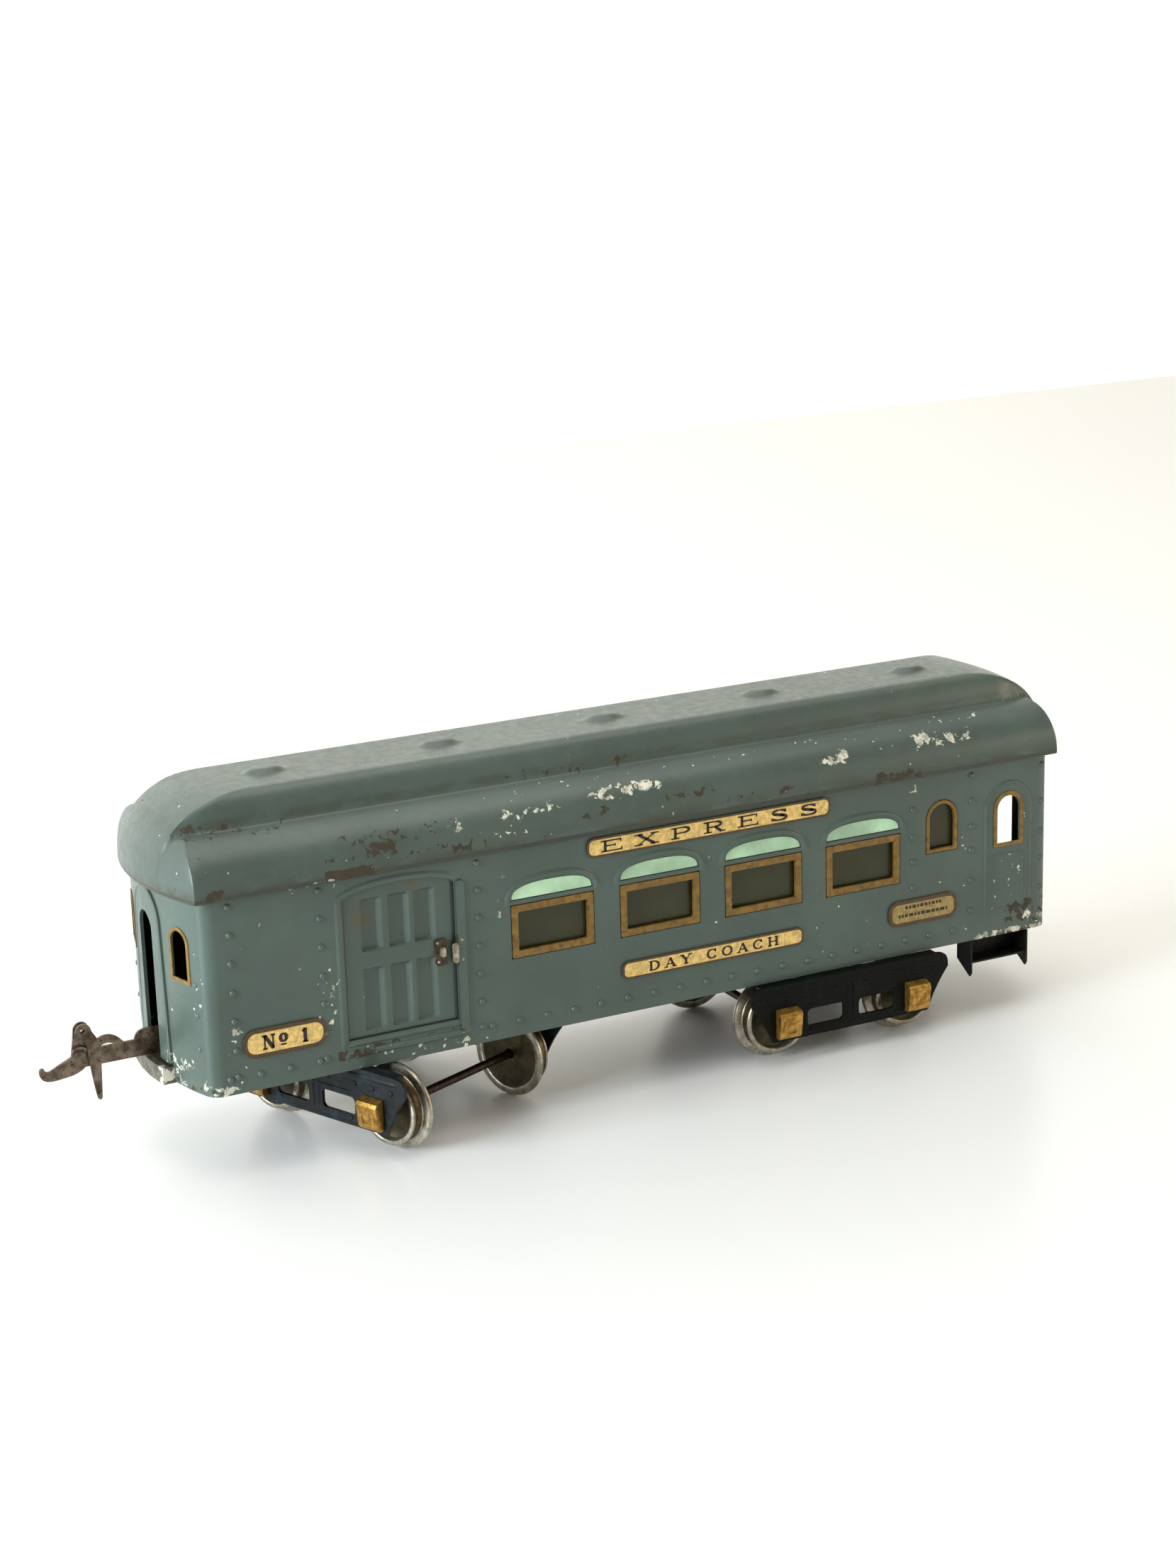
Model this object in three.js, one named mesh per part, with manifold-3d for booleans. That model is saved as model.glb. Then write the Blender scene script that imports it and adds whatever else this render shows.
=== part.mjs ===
// Pressed-tin toy passenger coach: body panels, roof, floor, sliding baggage doors,
// two swivelling trucks and a hook coupler. Millimetres, +Z up; heights are in the body's frame.
import * as THREE from 'three';
import { mergeVertices } from 'three/addons/utils/BufferGeometryUtils.js';
import Module from 'manifold-3d';

const wasm = await Module();
wasm.setup();

// ---- driving dimensions -----------------------------------------------------------------

const GAP = 0.3;                 // clearance kept between neighbouring pieces
const SHEET = 0.6;               // thickness of the tin panels

// body shell
const BODY_LENGTH = 318;         // over the four corners
const BODY_WIDTH = 70;
const BODY_BOTTOM = 30;
const PANEL_TOP = 97;            // panels reach up inside the roof
const END_BOW = 5.5;             // how far the middle of each end bulges past the corners
const END_RADIUS = 92;           // plan radius of the bowed end
const CORNER_RADIUS = 5.5;

// side openings, measured from the middle of the body, positive towards the rear
const WINDOW = { first: -38.75, pitch: 39.8, count: 4, width: 30.3, bottom: 56.5, top: 74.9, border: 2.6 };
const LUNETTE = { width: 29.6, bottom: 76.3, top: 81.9 };
const ARCHED_WINDOW = { middle: 113, width: 13.3, bottom: 65.1, top: 84.2, border: 1.5 };
const VESTIBULE_WINDOW = { middle: 141.1, width: 9.4, bottom: 64, top: 81.3 };
const DOORWAY = { left: -112, right: -73.4, bottom: 39.8, shoulder: 86, top: 90 };
const DOOR = { left: -114.4, right: -71.8, bottom: 38.2, shoulder: 88.4, top: 92, setback: 0.95 };
const DOOR_TRAVEL = 30;          // the handle stops against the edge of the doorway
const FLUTE = { width: 6.8, depth: 0.3, middles: [-101.8, -92.4, -83.5], rows: [[42, 61], [68.2, 84.5]] };
const GUIDE_DEPTH = 1.8;         // how far the door guides stand in from the side panel
const HANDLE = {
  plate: [-80.9, -76.3], plateHeights: [58.8, 68.2], lug: [-79.4, -77.2], lugHeights: [62, 65.4],
};
const KEEPER = {
  plate: [-74, -70.2], plateHeights: [58.2, 68.8], lug: [-75.2, -73], lugHeights: [59.4, 66.2],
};

// end openings
const END_DOOR = { width: 11.4, bottom: 36, top: 83.5 };
const END_WINDOW = { middle: 22.5, width: 8.4, bottom: 66.5, top: 82.5 };
const END_NOTCH = { width: 29.4, top: 35.6 };
const DOOR_FRAME = { foot: 13.5, shoulder: 11.5, top: 92.5 };   // half widths of the plate round an end door

// roof
const EAVE = 95.3;
const ROOF_WIDTH = 74;
const ROOF_OVERHANG = 3.6;       // roof end beyond the bowed end panel
const DECK = { rise: 16.5, run: 17, fullness: 2.1 };
const DECK_END_RUN = 9;
const HIP_SOFTNESS = 0.12;
const CROWN = { height: 27, run: 34, fullness: 2.3, halfWidth: 22, endHalfWidth: 18 };
const VENT = { count: 5, pitch: 61, length: 15, width: 9, height: 1.5 };

// floor and end platforms
const FLOOR_TOP = 34.4;
const PLATFORM = { halfWidth: 14.2, noseHalf: 4, reach: 3.8, top: 35, lipBottom: 29.5 };
const STEP = { left: 125.8, right: 150.2, outer: -35, inner: -26.2, tread: 21,
  cheekTop: 29.7, cheekTip: 16.2 };

// trucks
const TRUCK_X = { front: -81.5, rear: 73.3 };
const TRUCK_TURN = { front: THREE.MathUtils.degToRad(-66.6), rear: 0 };   // the front truck stands turned
const WHEELBASE = 52.4;
const FLANGE_RADIUS = 14.6;
const TREAD_RADIUS = 11.7;
const WHEEL_BOTTOM = 0.5;        // in the body's heights: the finished coach stands on z = 0
const AXLE_HEIGHT = WHEEL_BOTTOM + FLANGE_RADIUS;
const AXLE_RADIUS = 1.5;
const WHEEL = { inner: 26.4, outer: 33.2, flange: 1.7 };
const FRAME = { inner: 37.5, outer: 38.7, halfLength: 40.2, top: 29.6, bottom: 9.2,
  flange: 3.4, corner: 4.5 };
const FRAME_TAPER = { shoulder: 5.5, waist: 5.5, waistHeight: 8, foot: 8.6 };   // the ends narrow downwards
const BOLSTER = { halfLength: 9, bottom: 23.5, thickness: 1.2, endBottom: 20.2 };
const BEARING_RADIUS = 7;
const KING_PIN_RADIUS = 2;
const JOURNAL = { width: 8.8, height: 10.4, depth: 3.6, above: 1 };   // centred a little above the axle

// coupler
const DRAWBAR_THICKNESS = 1;
const DRAWBAR_PIVOT_X = -148;
const LATCH_PIVOT = { x: -189.4, z: 39.4 };
const LATCH_THICKNESS = 0.8;
const HOOK_REACH = 203;

// nameplates on each side: middle along the body, middle height, width, height
const PLATES = [
  { name: 'number_plate', x: -133.4, z: 45.5, width: 28, height: 9.4, round: 4.2 },
  { name: 'title_plate', x: 20.6, z: 89.4, width: 93, height: 6.7, round: 2.6 },
  { name: 'class_plate', x: 21, z: 45, width: 70, height: 6.2, round: 2.4 },
  { name: 'maker_plate', x: 105, z: 45.4, width: 28.3, height: 9.3, round: 3.6 },
];
const PLATE_THICKNESS = 0.4;

const ROOF_END = BODY_LENGTH / 2 + END_BOW + ROOF_OVERHANG;
const ORIGIN_SHIFT = (HOOK_REACH - ROOF_END) / 2;   // puts the origin in the middle of the overall length

// ---- colours ----------------------------------------------------------------------------

function finish(color, roughness, metalness) {
  return () => new THREE.MeshStandardMaterial({ color, roughness, metalness });
}

const enamel = finish(0x5c7670, 0.45, 0.1);
const gold = finish(0xa8803c, 0.5, 0.3);
const brass = finish(0xc2a05a, 0.4, 0.7);
const celluloid = finish(0x3c4238, 0.2, 0);
const blackEnamel = finish(0x1c2226, 0.5, 0.1);
const bareSteel = finish(0x776a5e, 0.5, 0.8);
const nickel = finish(0xa8a498, 0.35, 0.9);

// ---- shape helpers ----------------------------------------------------------------------

const frameAlongY = new THREE.Matrix4().makeBasis(
  new THREE.Vector3(1, 0, 0), new THREE.Vector3(0, 0, 1), new THREE.Vector3(0, -1, 0));
const frameAlongX = new THREE.Matrix4().makeBasis(
  new THREE.Vector3(0, 1, 0), new THREE.Vector3(0, 0, 1), new THREE.Vector3(1, 0, 0));

function extruded(shape, depth, curveSegments = 8) {
  return new THREE.ExtrudeGeometry(shape, { depth, bevelEnabled: false, curveSegments });
}

// shape drawn in (x, z), filling y from low to high
function alongY(shape, low, high, curveSegments) {
  return extruded(shape, high - low, curveSegments).applyMatrix4(frameAlongY).translate(0, high, 0);
}

// shape drawn in (y, z), filling x from low to high
function alongX(shape, low, high, curveSegments) {
  return extruded(shape, high - low, curveSegments).applyMatrix4(frameAlongX).translate(low, 0, 0);
}

// shape drawn in (x, y), filling z from low to high
function upwards(shape, low, high, curveSegments) {
  return extruded(shape, high - low, curveSegments).translate(0, 0, low);
}

function box(xLow, xHigh, yLow, yHigh, zLow, zHigh) {
  const block = new THREE.BoxGeometry(xHigh - xLow, yHigh - yLow, zHigh - zLow);
  return block.translate((xLow + xHigh) / 2, (yLow + yHigh) / 2, (zLow + zHigh) / 2);
}

function polygon(points) {
  return new THREE.Shape(points.map(([a, b]) => new THREE.Vector2(a, b)));
}

function rectangle(left, right, bottom, top) {
  return polygon([[left, bottom], [right, bottom], [right, top], [left, top]]);
}

function roundedRectangle(middleX, middleZ, width, height, radius) {
  const [a, b] = [width / 2 - radius, height / 2 - radius];
  const shape = new THREE.Shape();
  shape.absarc(middleX + a, middleZ - b, radius, -Math.PI / 2, 0);
  shape.absarc(middleX + a, middleZ + b, radius, 0, Math.PI / 2);
  shape.absarc(middleX - a, middleZ + b, radius, Math.PI / 2, Math.PI);
  shape.absarc(middleX - a, middleZ - b, radius, Math.PI, 1.5 * Math.PI);
  return shape;
}

// upright opening with a half-round top
function archedOpening(middle, width, bottom, top) {
  const shape = new THREE.Shape();
  shape.moveTo(middle - width / 2, bottom);
  shape.lineTo(middle + width / 2, bottom);
  shape.absellipse(middle, top - width / 2, width / 2, width / 2, 0, Math.PI);
  shape.closePath();
  return shape;
}

// opening whose top is a shallow curve between two shoulders
function shallowArch(left, right, bottom, shoulder, top) {
  const shape = new THREE.Shape();
  shape.moveTo(left, bottom);
  shape.lineTo(right, bottom);
  shape.lineTo(right, shoulder);
  shape.absellipse((left + right) / 2, shoulder, (right - left) / 2, top - shoulder, 0, Math.PI);
  shape.closePath();
  return shape;
}

function rod(radius, low, high, segments = 16) {
  return new THREE.CylinderGeometry(radius, radius, high - low, segments).rotateX(Math.PI / 2)
    .translate(0, 0, (low + high) / 2);
}

// a rivet standing along z: shank between two wider heads
function rivet(shankRadius, headRadius, headHeight, low, high) {
  const profile = [[0, low], [headRadius, low], [headRadius, low + headHeight], [shankRadius, low + headHeight],
    [shankRadius, high - headHeight], [headRadius, high - headHeight], [headRadius, high], [0, high]];
  return new THREE.LatheGeometry(profile.map(([r, z]) => new THREE.Vector2(r, z)), 16).rotateX(Math.PI / 2);
}

// ---- joining and cutting ----------------------------------------------------------------

function toSolid(geometry) {
  const bare = geometry.clone();
  bare.deleteAttribute('normal');
  bare.deleteAttribute('uv');
  const merged = mergeVertices(bare, 1e-4);
  return new wasm.Manifold(new wasm.Mesh({
    numProp: 3,
    vertProperties: new Float32Array(merged.attributes.position.array),
    triVerts: new Uint32Array(merged.index.array),
  }));
}

function toGeometry(solid) {
  const mesh = solid.getMesh();
  const geometry = new THREE.BufferGeometry();
  geometry.setAttribute('position', new THREE.BufferAttribute(new Float32Array(mesh.vertProperties), 3));
  geometry.setIndex(new THREE.BufferAttribute(new Uint32Array(mesh.triVerts), 1));
  return geometry;
}

function joined(...geometries) {
  return toGeometry(geometries.map(toSolid).reduce((sum, next) => sum.add(next)));
}

function cut(base, ...tools) {
  return toGeometry(tools.map(toSolid).reduce((rest, tool) => rest.subtract(tool), toSolid(base)));
}

// mirror image across the plane y = 0
function mirroredY(geometry) {
  const mirror = geometry.clone().scale(1, -1, 1);
  if (!mirror.index) return mirroredY(mergeVertices(geometry));
  const index = mirror.index;
  for (let i = 0; i < index.count; i += 3) {
    const second = index.getX(i + 1);
    index.setX(i + 1, index.getX(i + 2));
    index.setX(i + 2, second);
  }
  mirror.deleteAttribute('normal');
  return mirror;
}

const coach = new THREE.Group();
coach.position.set(ORIGIN_SHIFT, 0, -WHEEL_BOTTOM);

function place(name, geometry, makeMaterial, parent = coach) {
  const mesh = new THREE.Mesh(geometry, makeMaterial());
  mesh.name = name;
  parent.add(mesh);
  return mesh;
}

// a piece that the coach has once on each side: built for the near side (y < 0)
function placeOnBothSides(name, nearGeometry, makeMaterial) {
  place(`${name}_near`, nearGeometry, makeMaterial);
  place(`${name}_far`, mirroredY(nearGeometry), makeMaterial);
}

// ---- body panels ------------------------------------------------------------------------

const HALF_LENGTH = BODY_LENGTH / 2;
const HALF_WIDTH = BODY_WIDTH / 2;
const END_CENTRE = HALF_LENGTH + END_BOW - END_RADIUS;
const CORNER_Y = HALF_WIDTH - CORNER_RADIUS;
const CORNER_X = END_CENTRE + Math.sqrt((END_RADIUS - CORNER_RADIUS) ** 2 - CORNER_Y ** 2);
const CORNER_ANGLE = Math.asin(CORNER_Y / (END_RADIUS - CORNER_RADIUS));   // where corner meets bowed end

function bowedEndX(y, radius = END_RADIUS) {
  return END_CENTRE + Math.sqrt(radius ** 2 - y ** 2);
}

// plan of a side panel, wrapped round both corners to the middle of each end
function sidePlan() {
  const shape = new THREE.Shape();
  const turn = 1.5 * Math.PI;
  const inner = CORNER_RADIUS - SHEET;
  const seam = GAP / 2 / END_RADIUS;
  shape.absarc(-END_CENTRE, 0, END_RADIUS, Math.PI + seam, Math.PI + CORNER_ANGLE);
  shape.absarc(-CORNER_X, -CORNER_Y, CORNER_RADIUS, Math.PI + CORNER_ANGLE, turn);
  shape.absarc(CORNER_X, -CORNER_Y, CORNER_RADIUS, turn, 2 * Math.PI - CORNER_ANGLE);
  shape.absarc(END_CENTRE, 0, END_RADIUS, 2 * Math.PI - CORNER_ANGLE, 2 * Math.PI - seam);
  shape.absarc(END_CENTRE, 0, END_RADIUS - SHEET, 2 * Math.PI - seam, 2 * Math.PI - CORNER_ANGLE, true);
  shape.absarc(CORNER_X, -CORNER_Y, inner, 2 * Math.PI - CORNER_ANGLE, turn, true);
  shape.absarc(-CORNER_X, -CORNER_Y, inner, turn, Math.PI + CORNER_ANGLE, true);
  shape.absarc(-END_CENTRE, 0, END_RADIUS - SHEET, Math.PI + CORNER_ANGLE, Math.PI + seam, true);
  shape.closePath();
  return shape;
}

function windowMiddles() {
  return Array.from({ length: WINDOW.count }, (_, i) => WINDOW.first + i * WINDOW.pitch);
}

function lunette(middle, margin) {
  const half = LUNETTE.width / 2 + margin;
  const bottom = LUNETTE.bottom - margin;
  const shape = new THREE.Shape();
  shape.moveTo(middle - half, bottom);
  shape.lineTo(middle + half, bottom);
  shape.absellipse(middle, bottom, half, LUNETTE.top + margin - bottom, 0, Math.PI);
  shape.closePath();
  return shape;
}

function sidePanel() {
  const cutters = windowMiddles().flatMap((middle) => [
    rectangle(middle - WINDOW.width / 2, middle + WINDOW.width / 2, WINDOW.bottom, WINDOW.top),
    lunette(middle, 0),
  ]);
  cutters.push(archedOpening(
    ARCHED_WINDOW.middle, ARCHED_WINDOW.width, ARCHED_WINDOW.bottom, ARCHED_WINDOW.top));
  cutters.push(archedOpening(
    VESTIBULE_WINDOW.middle, VESTIBULE_WINDOW.width, VESTIBULE_WINDOW.bottom, VESTIBULE_WINDOW.top));
  cutters.push(shallowArch(DOORWAY.left, DOORWAY.right, DOORWAY.bottom, DOORWAY.shoulder, DOORWAY.top));
  const through = cutters.map((shape) => alongY(shape, -HALF_WIDTH - 2, -HALF_WIDTH + 4));
  const endways = [
    archedOpening(0, END_DOOR.width, END_DOOR.bottom - 2, END_DOOR.top),
    rectangle(-END_NOTCH.width / 2, END_NOTCH.width / 2, BODY_BOTTOM - 2, END_NOTCH.top),
    archedOpening(-END_WINDOW.middle, END_WINDOW.width, END_WINDOW.bottom, END_WINDOW.top),
  ];
  for (const shape of endways) {
    through.push(alongX(shape, HALF_LENGTH - 6, HALF_LENGTH + END_BOW + 4));
    through.push(alongX(shape, -HALF_LENGTH - END_BOW - 4, -HALF_LENGTH + 6));
  }
  const skin = cut(upwards(sidePlan(), BODY_BOTTOM, PANEL_TOP, 4), ...through);
  return joined(skin, ...doorGuides());
}

// two bent strips inside the panel that hold the sliding door by its lower and upper edges
function doorGuides() {
  const inside = -HALF_WIDTH + SHEET;
  const left = DOOR.left - DOOR_TRAVEL - 2;
  const right = DOOR.right + 2;
  const lip = SHEET * 0.75;
  const overlap = 0.2;           // the strips bite into the panel so that they form one body
  const lipHeight = 1;
  const depth = inside + GUIDE_DEPTH;
  const low = DOOR.bottom - GAP;
  const high = DOOR.top + GAP;
  return [
    box(left, right, inside - overlap, depth, low - SHEET, low),
    box(left, right, depth - lip, depth, low - SHEET, DOOR.bottom + lipHeight),
    box(left, right, inside - overlap, depth, high, high + SHEET),
    box(left, right, depth - lip, depth, DOOR.top - lipHeight, high + SHEET),
  ];
}

// arched plate that lies on the bowed end round its doorway and covers the seam
function endPanel() {
  const { foot, shoulder, top } = DOOR_FRAME;
  const spread = Math.asin((foot + 1) / END_RADIUS);
  const band = new THREE.Shape();
  band.absarc(END_CENTRE, 0, END_RADIUS + GAP + SHEET, -spread, spread);
  band.absarc(END_CENTRE, 0, END_RADIUS + GAP, spread, -spread, true);
  band.closePath();
  const outline = new THREE.Shape();
  outline.moveTo(-foot, END_NOTCH.top);
  outline.lineTo(foot, END_NOTCH.top);
  outline.lineTo(shoulder, top - shoulder);
  outline.absarc(0, top - shoulder, shoulder, 0, Math.PI);
  outline.closePath();
  const plate = upwards(band, BODY_BOTTOM, PANEL_TOP, 8);
  const reach = [HALF_LENGTH - 6, HALF_LENGTH + END_BOW + 4];
  const doorway = archedOpening(0, END_DOOR.width, END_DOOR.bottom - 2, END_DOOR.top);
  return toGeometry(toSolid(plate).intersect(toSolid(alongX(outline, ...reach)))
    .subtract(toSolid(alongX(doorway, ...reach))));
}

function buildBody() {
  placeOnBothSides('side_panel', sidePanel(), enamel);
  const end = endPanel();
  place('end_panel_rear', end, enamel);
  place('end_panel_front', end.clone().rotateZ(Math.PI), enamel);
}

// ---- window inserts and glazing ---------------------------------------------------------

const INSERT_OUTER = -HALF_WIDTH + SHEET + GAP;
const INSERT_THICKNESS = 0.6;
const GLAZING_OUTER = INSERT_OUTER + INSERT_THICKNESS + GAP;

// one strip behind the side panel whose raised frames fill the window openings
function windowInsert() {
  const inner = INSERT_OUTER + INSERT_THICKNESS;
  const proud = -HALF_WIDTH - 0.2;
  const left = WINDOW.first - WINDOW.width / 2 - 4;
  const right = ARCHED_WINDOW.middle + ARCHED_WINDOW.width / 2 + 4;
  const frames = windowMiddles().flatMap((middle) => [
    alongY(rectangle(middle - WINDOW.width / 2 + GAP, middle + WINDOW.width / 2 - GAP,
      WINDOW.bottom + GAP, WINDOW.top - GAP), proud, inner),
    alongY(lunette(middle, -GAP), -HALF_WIDTH + GAP, inner),
  ]);
  const arch = ARCHED_WINDOW;
  frames.push(alongY(archedOpening(
    arch.middle, arch.width - 2 * GAP, arch.bottom + GAP, arch.top - GAP), proud, inner));
  const strip = box(left, right, INSERT_OUTER, inner, WINDOW.bottom - 3, arch.top + 3);
  const panes = windowMiddles().map((middle) => rectangle(
    middle - WINDOW.width / 2 + WINDOW.border, middle + WINDOW.width / 2 - WINDOW.border,
    WINDOW.bottom + WINDOW.border, WINDOW.top - WINDOW.border));
  panes.push(archedOpening(arch.middle, arch.width - 2 * arch.border, arch.bottom + arch.border,
    arch.top - arch.border));
  const openings = panes.map((pane) => alongY(pane, -HALF_WIDTH - 2, -HALF_WIDTH + 4));
  return cut(joined(strip, ...frames), ...openings);
}

function glazing() {
  return box(WINDOW.first - WINDOW.width / 2, ARCHED_WINDOW.middle + ARCHED_WINDOW.width / 2 + 2,
    GLAZING_OUTER, GLAZING_OUTER + 0.4, WINDOW.bottom - 1, ARCHED_WINDOW.top + 1);
}

function buildWindows() {
  placeOnBothSides('window_insert', windowInsert(), gold);
  placeOnBothSides('glazing_strip', glazing(), celluloid);
}

// ---- baggage doors ----------------------------------------------------------------------

const DOOR_OUTER = -HALF_WIDTH + DOOR.setback;

function baggageDoor() {
  const leaf = alongY(shallowArch(DOOR.left, DOOR.right, DOOR.bottom, DOOR.shoulder, DOOR.top),
    DOOR_OUTER, DOOR_OUTER + SHEET);
  const flutes = FLUTE.middles.flatMap((middle) => FLUTE.rows.map(([bottom, top]) => alongY(
    rectangle(middle - FLUTE.width / 2, middle + FLUTE.width / 2, bottom, top),
    DOOR_OUTER - 1, DOOR_OUTER + FLUTE.depth)));
  return cut(leaf, ...flutes);
}

// a back plate with a smaller lug on its face
function catchPiece({ plate, lug, plateHeights, lugHeights }, back, lugDepth) {
  const plateDepth = 0.6;
  const overlap = 0.2;
  return joined(
    box(...plate, back - plateDepth, back, ...plateHeights),
    box(...lug, back - lugDepth, back - plateDepth + overlap, ...lugHeights));
}

function buildDoors() {
  placeOnBothSides('baggage_door', baggageDoor(), enamel);
  placeOnBothSides('door_handle', catchPiece(HANDLE, DOOR_OUTER - GAP, 1.4), bareSteel);
  placeOnBothSides('door_keeper', catchPiece(KEEPER, -HALF_WIDTH - GAP, 1), bareSteel);
}

// ---- roof -------------------------------------------------------------------------------

function roofEndX(y) {
  return bowedEndX(y) + ROOF_OVERHANG;
}

function quarterCurve(inset, run, fullness) {
  const t = THREE.MathUtils.clamp(1 - inset / run, 0, 1);
  return (1 - t ** fullness) ** (1 / fullness);
}

// lower of two heights, meeting in a crisp hip at the eave that fades into a round shoulder higher up
function softMinimum(a, b) {
  const lower = Math.min(a, b);
  const softness = 0.01 + HIP_SOFTNESS * THREE.MathUtils.smoothstep(lower, 0, 0.8);
  const soft = lower - softness * Math.log1p(Math.exp(-Math.abs(a - b) / softness));
  return Math.max(0, soft + softness * Math.LN2 * lower * Math.exp(-Math.abs(a - b) / softness));
}

// outer roof height at a point of the plan
function roofHeight(x, y) {
  const sideInset = ROOF_WIDTH / 2 - Math.abs(y);
  const endInset = roofEndX(y) - Math.abs(x);
  const deck = DECK.rise * softMinimum(
    quarterCurve(sideInset, DECK.run, DECK.fullness), quarterCurve(endInset, DECK_END_RUN, DECK.fullness));
  const along = quarterCurve(endInset, CROWN.run, CROWN.fullness);
  const narrowing = THREE.MathUtils.smoothstep(-endInset, -20, 0);
  const half = THREE.MathUtils.lerp(CROWN.halfWidth, CROWN.endHalfWidth, narrowing);
  const across = quarterCurve(half + 1 - Math.abs(y), 9, 2.6);
  const crown = CROWN.height * Math.min(along, across);
  return EAVE + Math.max(deck, crown) + ventHeight(x, y);
}

function ventHeight(x, y) {
  const nearest = THREE.MathUtils.clamp(Math.round(x / VENT.pitch), -2, 2) * VENT.pitch;
  const reach = Math.hypot((x - nearest) / (VENT.length / 2), y / (VENT.width / 2));
  return VENT.height * (1 - THREE.MathUtils.smoothstep(reach, 0.55, 1.05));
}

// stations from -1 to 1, closer together towards both ends
function stations(count, bias) {
  return Array.from({ length: count + 1 }, (_, i) => {
    const t = (2 * i) / count - 1;
    return Math.sign(t) * (1 - (1 - Math.abs(t)) ** bias);
  });
}

function roofShell() {
  const across = stations(18, 1.5);
  const along = stations(28, 2.4);
  const columns = across.length;
  const outer = [];
  along.forEach((s) => across.forEach((t) => {
    const y = (t * ROOF_WIDTH) / 2;
    const x = s * roofEndX(y);
    outer.push(new THREE.Vector3(x, y, roofHeight(x, y)));
  }));
  const onEave = (point) => point.z - EAVE < 0.01;
  const inner = outer.map((point) => new THREE.Vector3(
    point.x * (1 - SHEET / ROOF_END),
    point.y * (1 - (2 * SHEET) / ROOF_WIDTH),
    onEave(point) ? point.z : point.z - 1.1 * SHEET));
  const rim = 1.2;               // the eave hangs this far below the deck's spring line
  const isRim = (row, column) => (
    row === 0 || column === 0 || row === along.length - 1 || column === columns - 1);
  const positions = [];
  const pushAll = (points, low) => points.forEach((point, i) => {
    const onRim = isRim(Math.floor(i / columns), i % columns);
    positions.push(point.x, point.y, onRim ? EAVE + low : point.z);
  });
  pushAll(outer, -rim);
  pushAll(inner, -rim);
  const index = [];
  const offset = outer.length;
  const quad = (a, b, c, d) => index.push(a, b, c, a, c, d);
  for (let row = 0; row < along.length - 1; row += 1) {
    for (let column = 0; column < columns - 1; column += 1) {
      const a = row * columns + column;
      const [b, c, d] = [a + columns, a + columns + 1, a + 1];
      quad(a, b, c, d);
      quad(offset + a, offset + d, offset + c, offset + b);
    }
  }
  const rimWall = (a, b) => quad(a, b, offset + b, offset + a);
  const lastRow = (along.length - 1) * columns;
  for (let column = 0; column < columns - 1; column += 1) {
    rimWall(column, column + 1);
    rimWall(lastRow + column + 1, lastRow + column);
  }
  for (let row = 0; row < along.length - 1; row += 1) {
    rimWall((row + 1) * columns, row * columns);
    rimWall(row * columns + columns - 1, (row + 1) * columns + columns - 1);
  }
  const geometry = new THREE.BufferGeometry();
  geometry.setAttribute('position', new THREE.Float32BufferAttribute(positions, 3));
  geometry.setIndex(index);
  return geometry;
}

function buildRoof() {
  place('roof_shell', roofShell(), enamel);
}

// ---- floor ------------------------------------------------------------------------------

function floorPan() {
  const halfWidth = HALF_WIDTH - SHEET - GAP;
  const endRadius = END_RADIUS - SHEET - GAP;
  const cornerY = CORNER_Y - 1;
  const endAngle = Math.asin(cornerY / endRadius);
  const deck = new THREE.Shape();
  deck.moveTo(-CORNER_X, -halfWidth);
  deck.lineTo(CORNER_X, -halfWidth);
  deck.absarc(END_CENTRE, 0, endRadius, -endAngle, endAngle);
  deck.lineTo(CORNER_X, halfWidth);
  deck.lineTo(-CORNER_X, halfWidth);
  deck.absarc(-END_CENTRE, 0, endRadius, Math.PI - endAngle, Math.PI + endAngle);
  deck.closePath();
  const parts = [1, -1].flatMap((sign) => platform().map(
    (geometry) => (sign > 0 ? geometry : geometry.clone().rotateZ(Math.PI))));
  const holes = [[TRUCK_X.front, KING_PIN_RADIUS], [TRUCK_X.rear, KING_PIN_RADIUS], [DRAWBAR_PIVOT_X, 1.5]].map(
    ([x, radius]) => rod(radius + GAP, FLOOR_TOP - 3, FLOOR_TOP + 3).translate(x, 0, 0));
  return cut(joined(upwards(deck, FLOOR_TOP - SHEET, FLOOR_TOP), ...parts), ...holes);
}

// end platform outside the end panel: flat top, lips on three sides, and a tongue through the notch
function platform() {
  const { halfWidth, noseHalf, reach, top, lipBottom } = PLATFORM;
  const rootRadius = END_RADIUS + 3 * GAP + SHEET;
  const corner = bowedEndX(halfWidth) + reach;
  const nose = bowedEndX(0) + reach;
  const outline = (wall) => {
    const half = halfWidth - wall;
    const spread = Math.asin(half / (rootRadius - wall));
    const shape = new THREE.Shape();
    shape.absarc(END_CENTRE, 0, rootRadius - wall, spread, -spread, true);
    shape.lineTo(corner - wall, -half);
    shape.lineTo(nose - wall, -noseHalf);
    shape.lineTo(nose - wall, noseHalf);
    shape.lineTo(corner - wall, half);
    shape.closePath();
    return shape;
  };
  const tray = cut(upwards(outline(0), lipBottom, top), upwards(outline(SHEET), lipBottom - 1, top - SHEET));
  const overlap = 1;
  const inside = CORNER_X + overlap;
  const cheek = box(inside, bowedEndX(halfWidth, rootRadius) + overlap, -halfWidth, -halfWidth + SHEET,
    lipBottom, FLOOR_TOP);
  const tongue = box(inside, bowedEndX(0, rootRadius) + overlap, -halfWidth, halfWidth,
    FLOOR_TOP - SHEET, FLOOR_TOP);
  return [tray, cheek, mirroredY(cheek), tongue];
}

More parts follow.
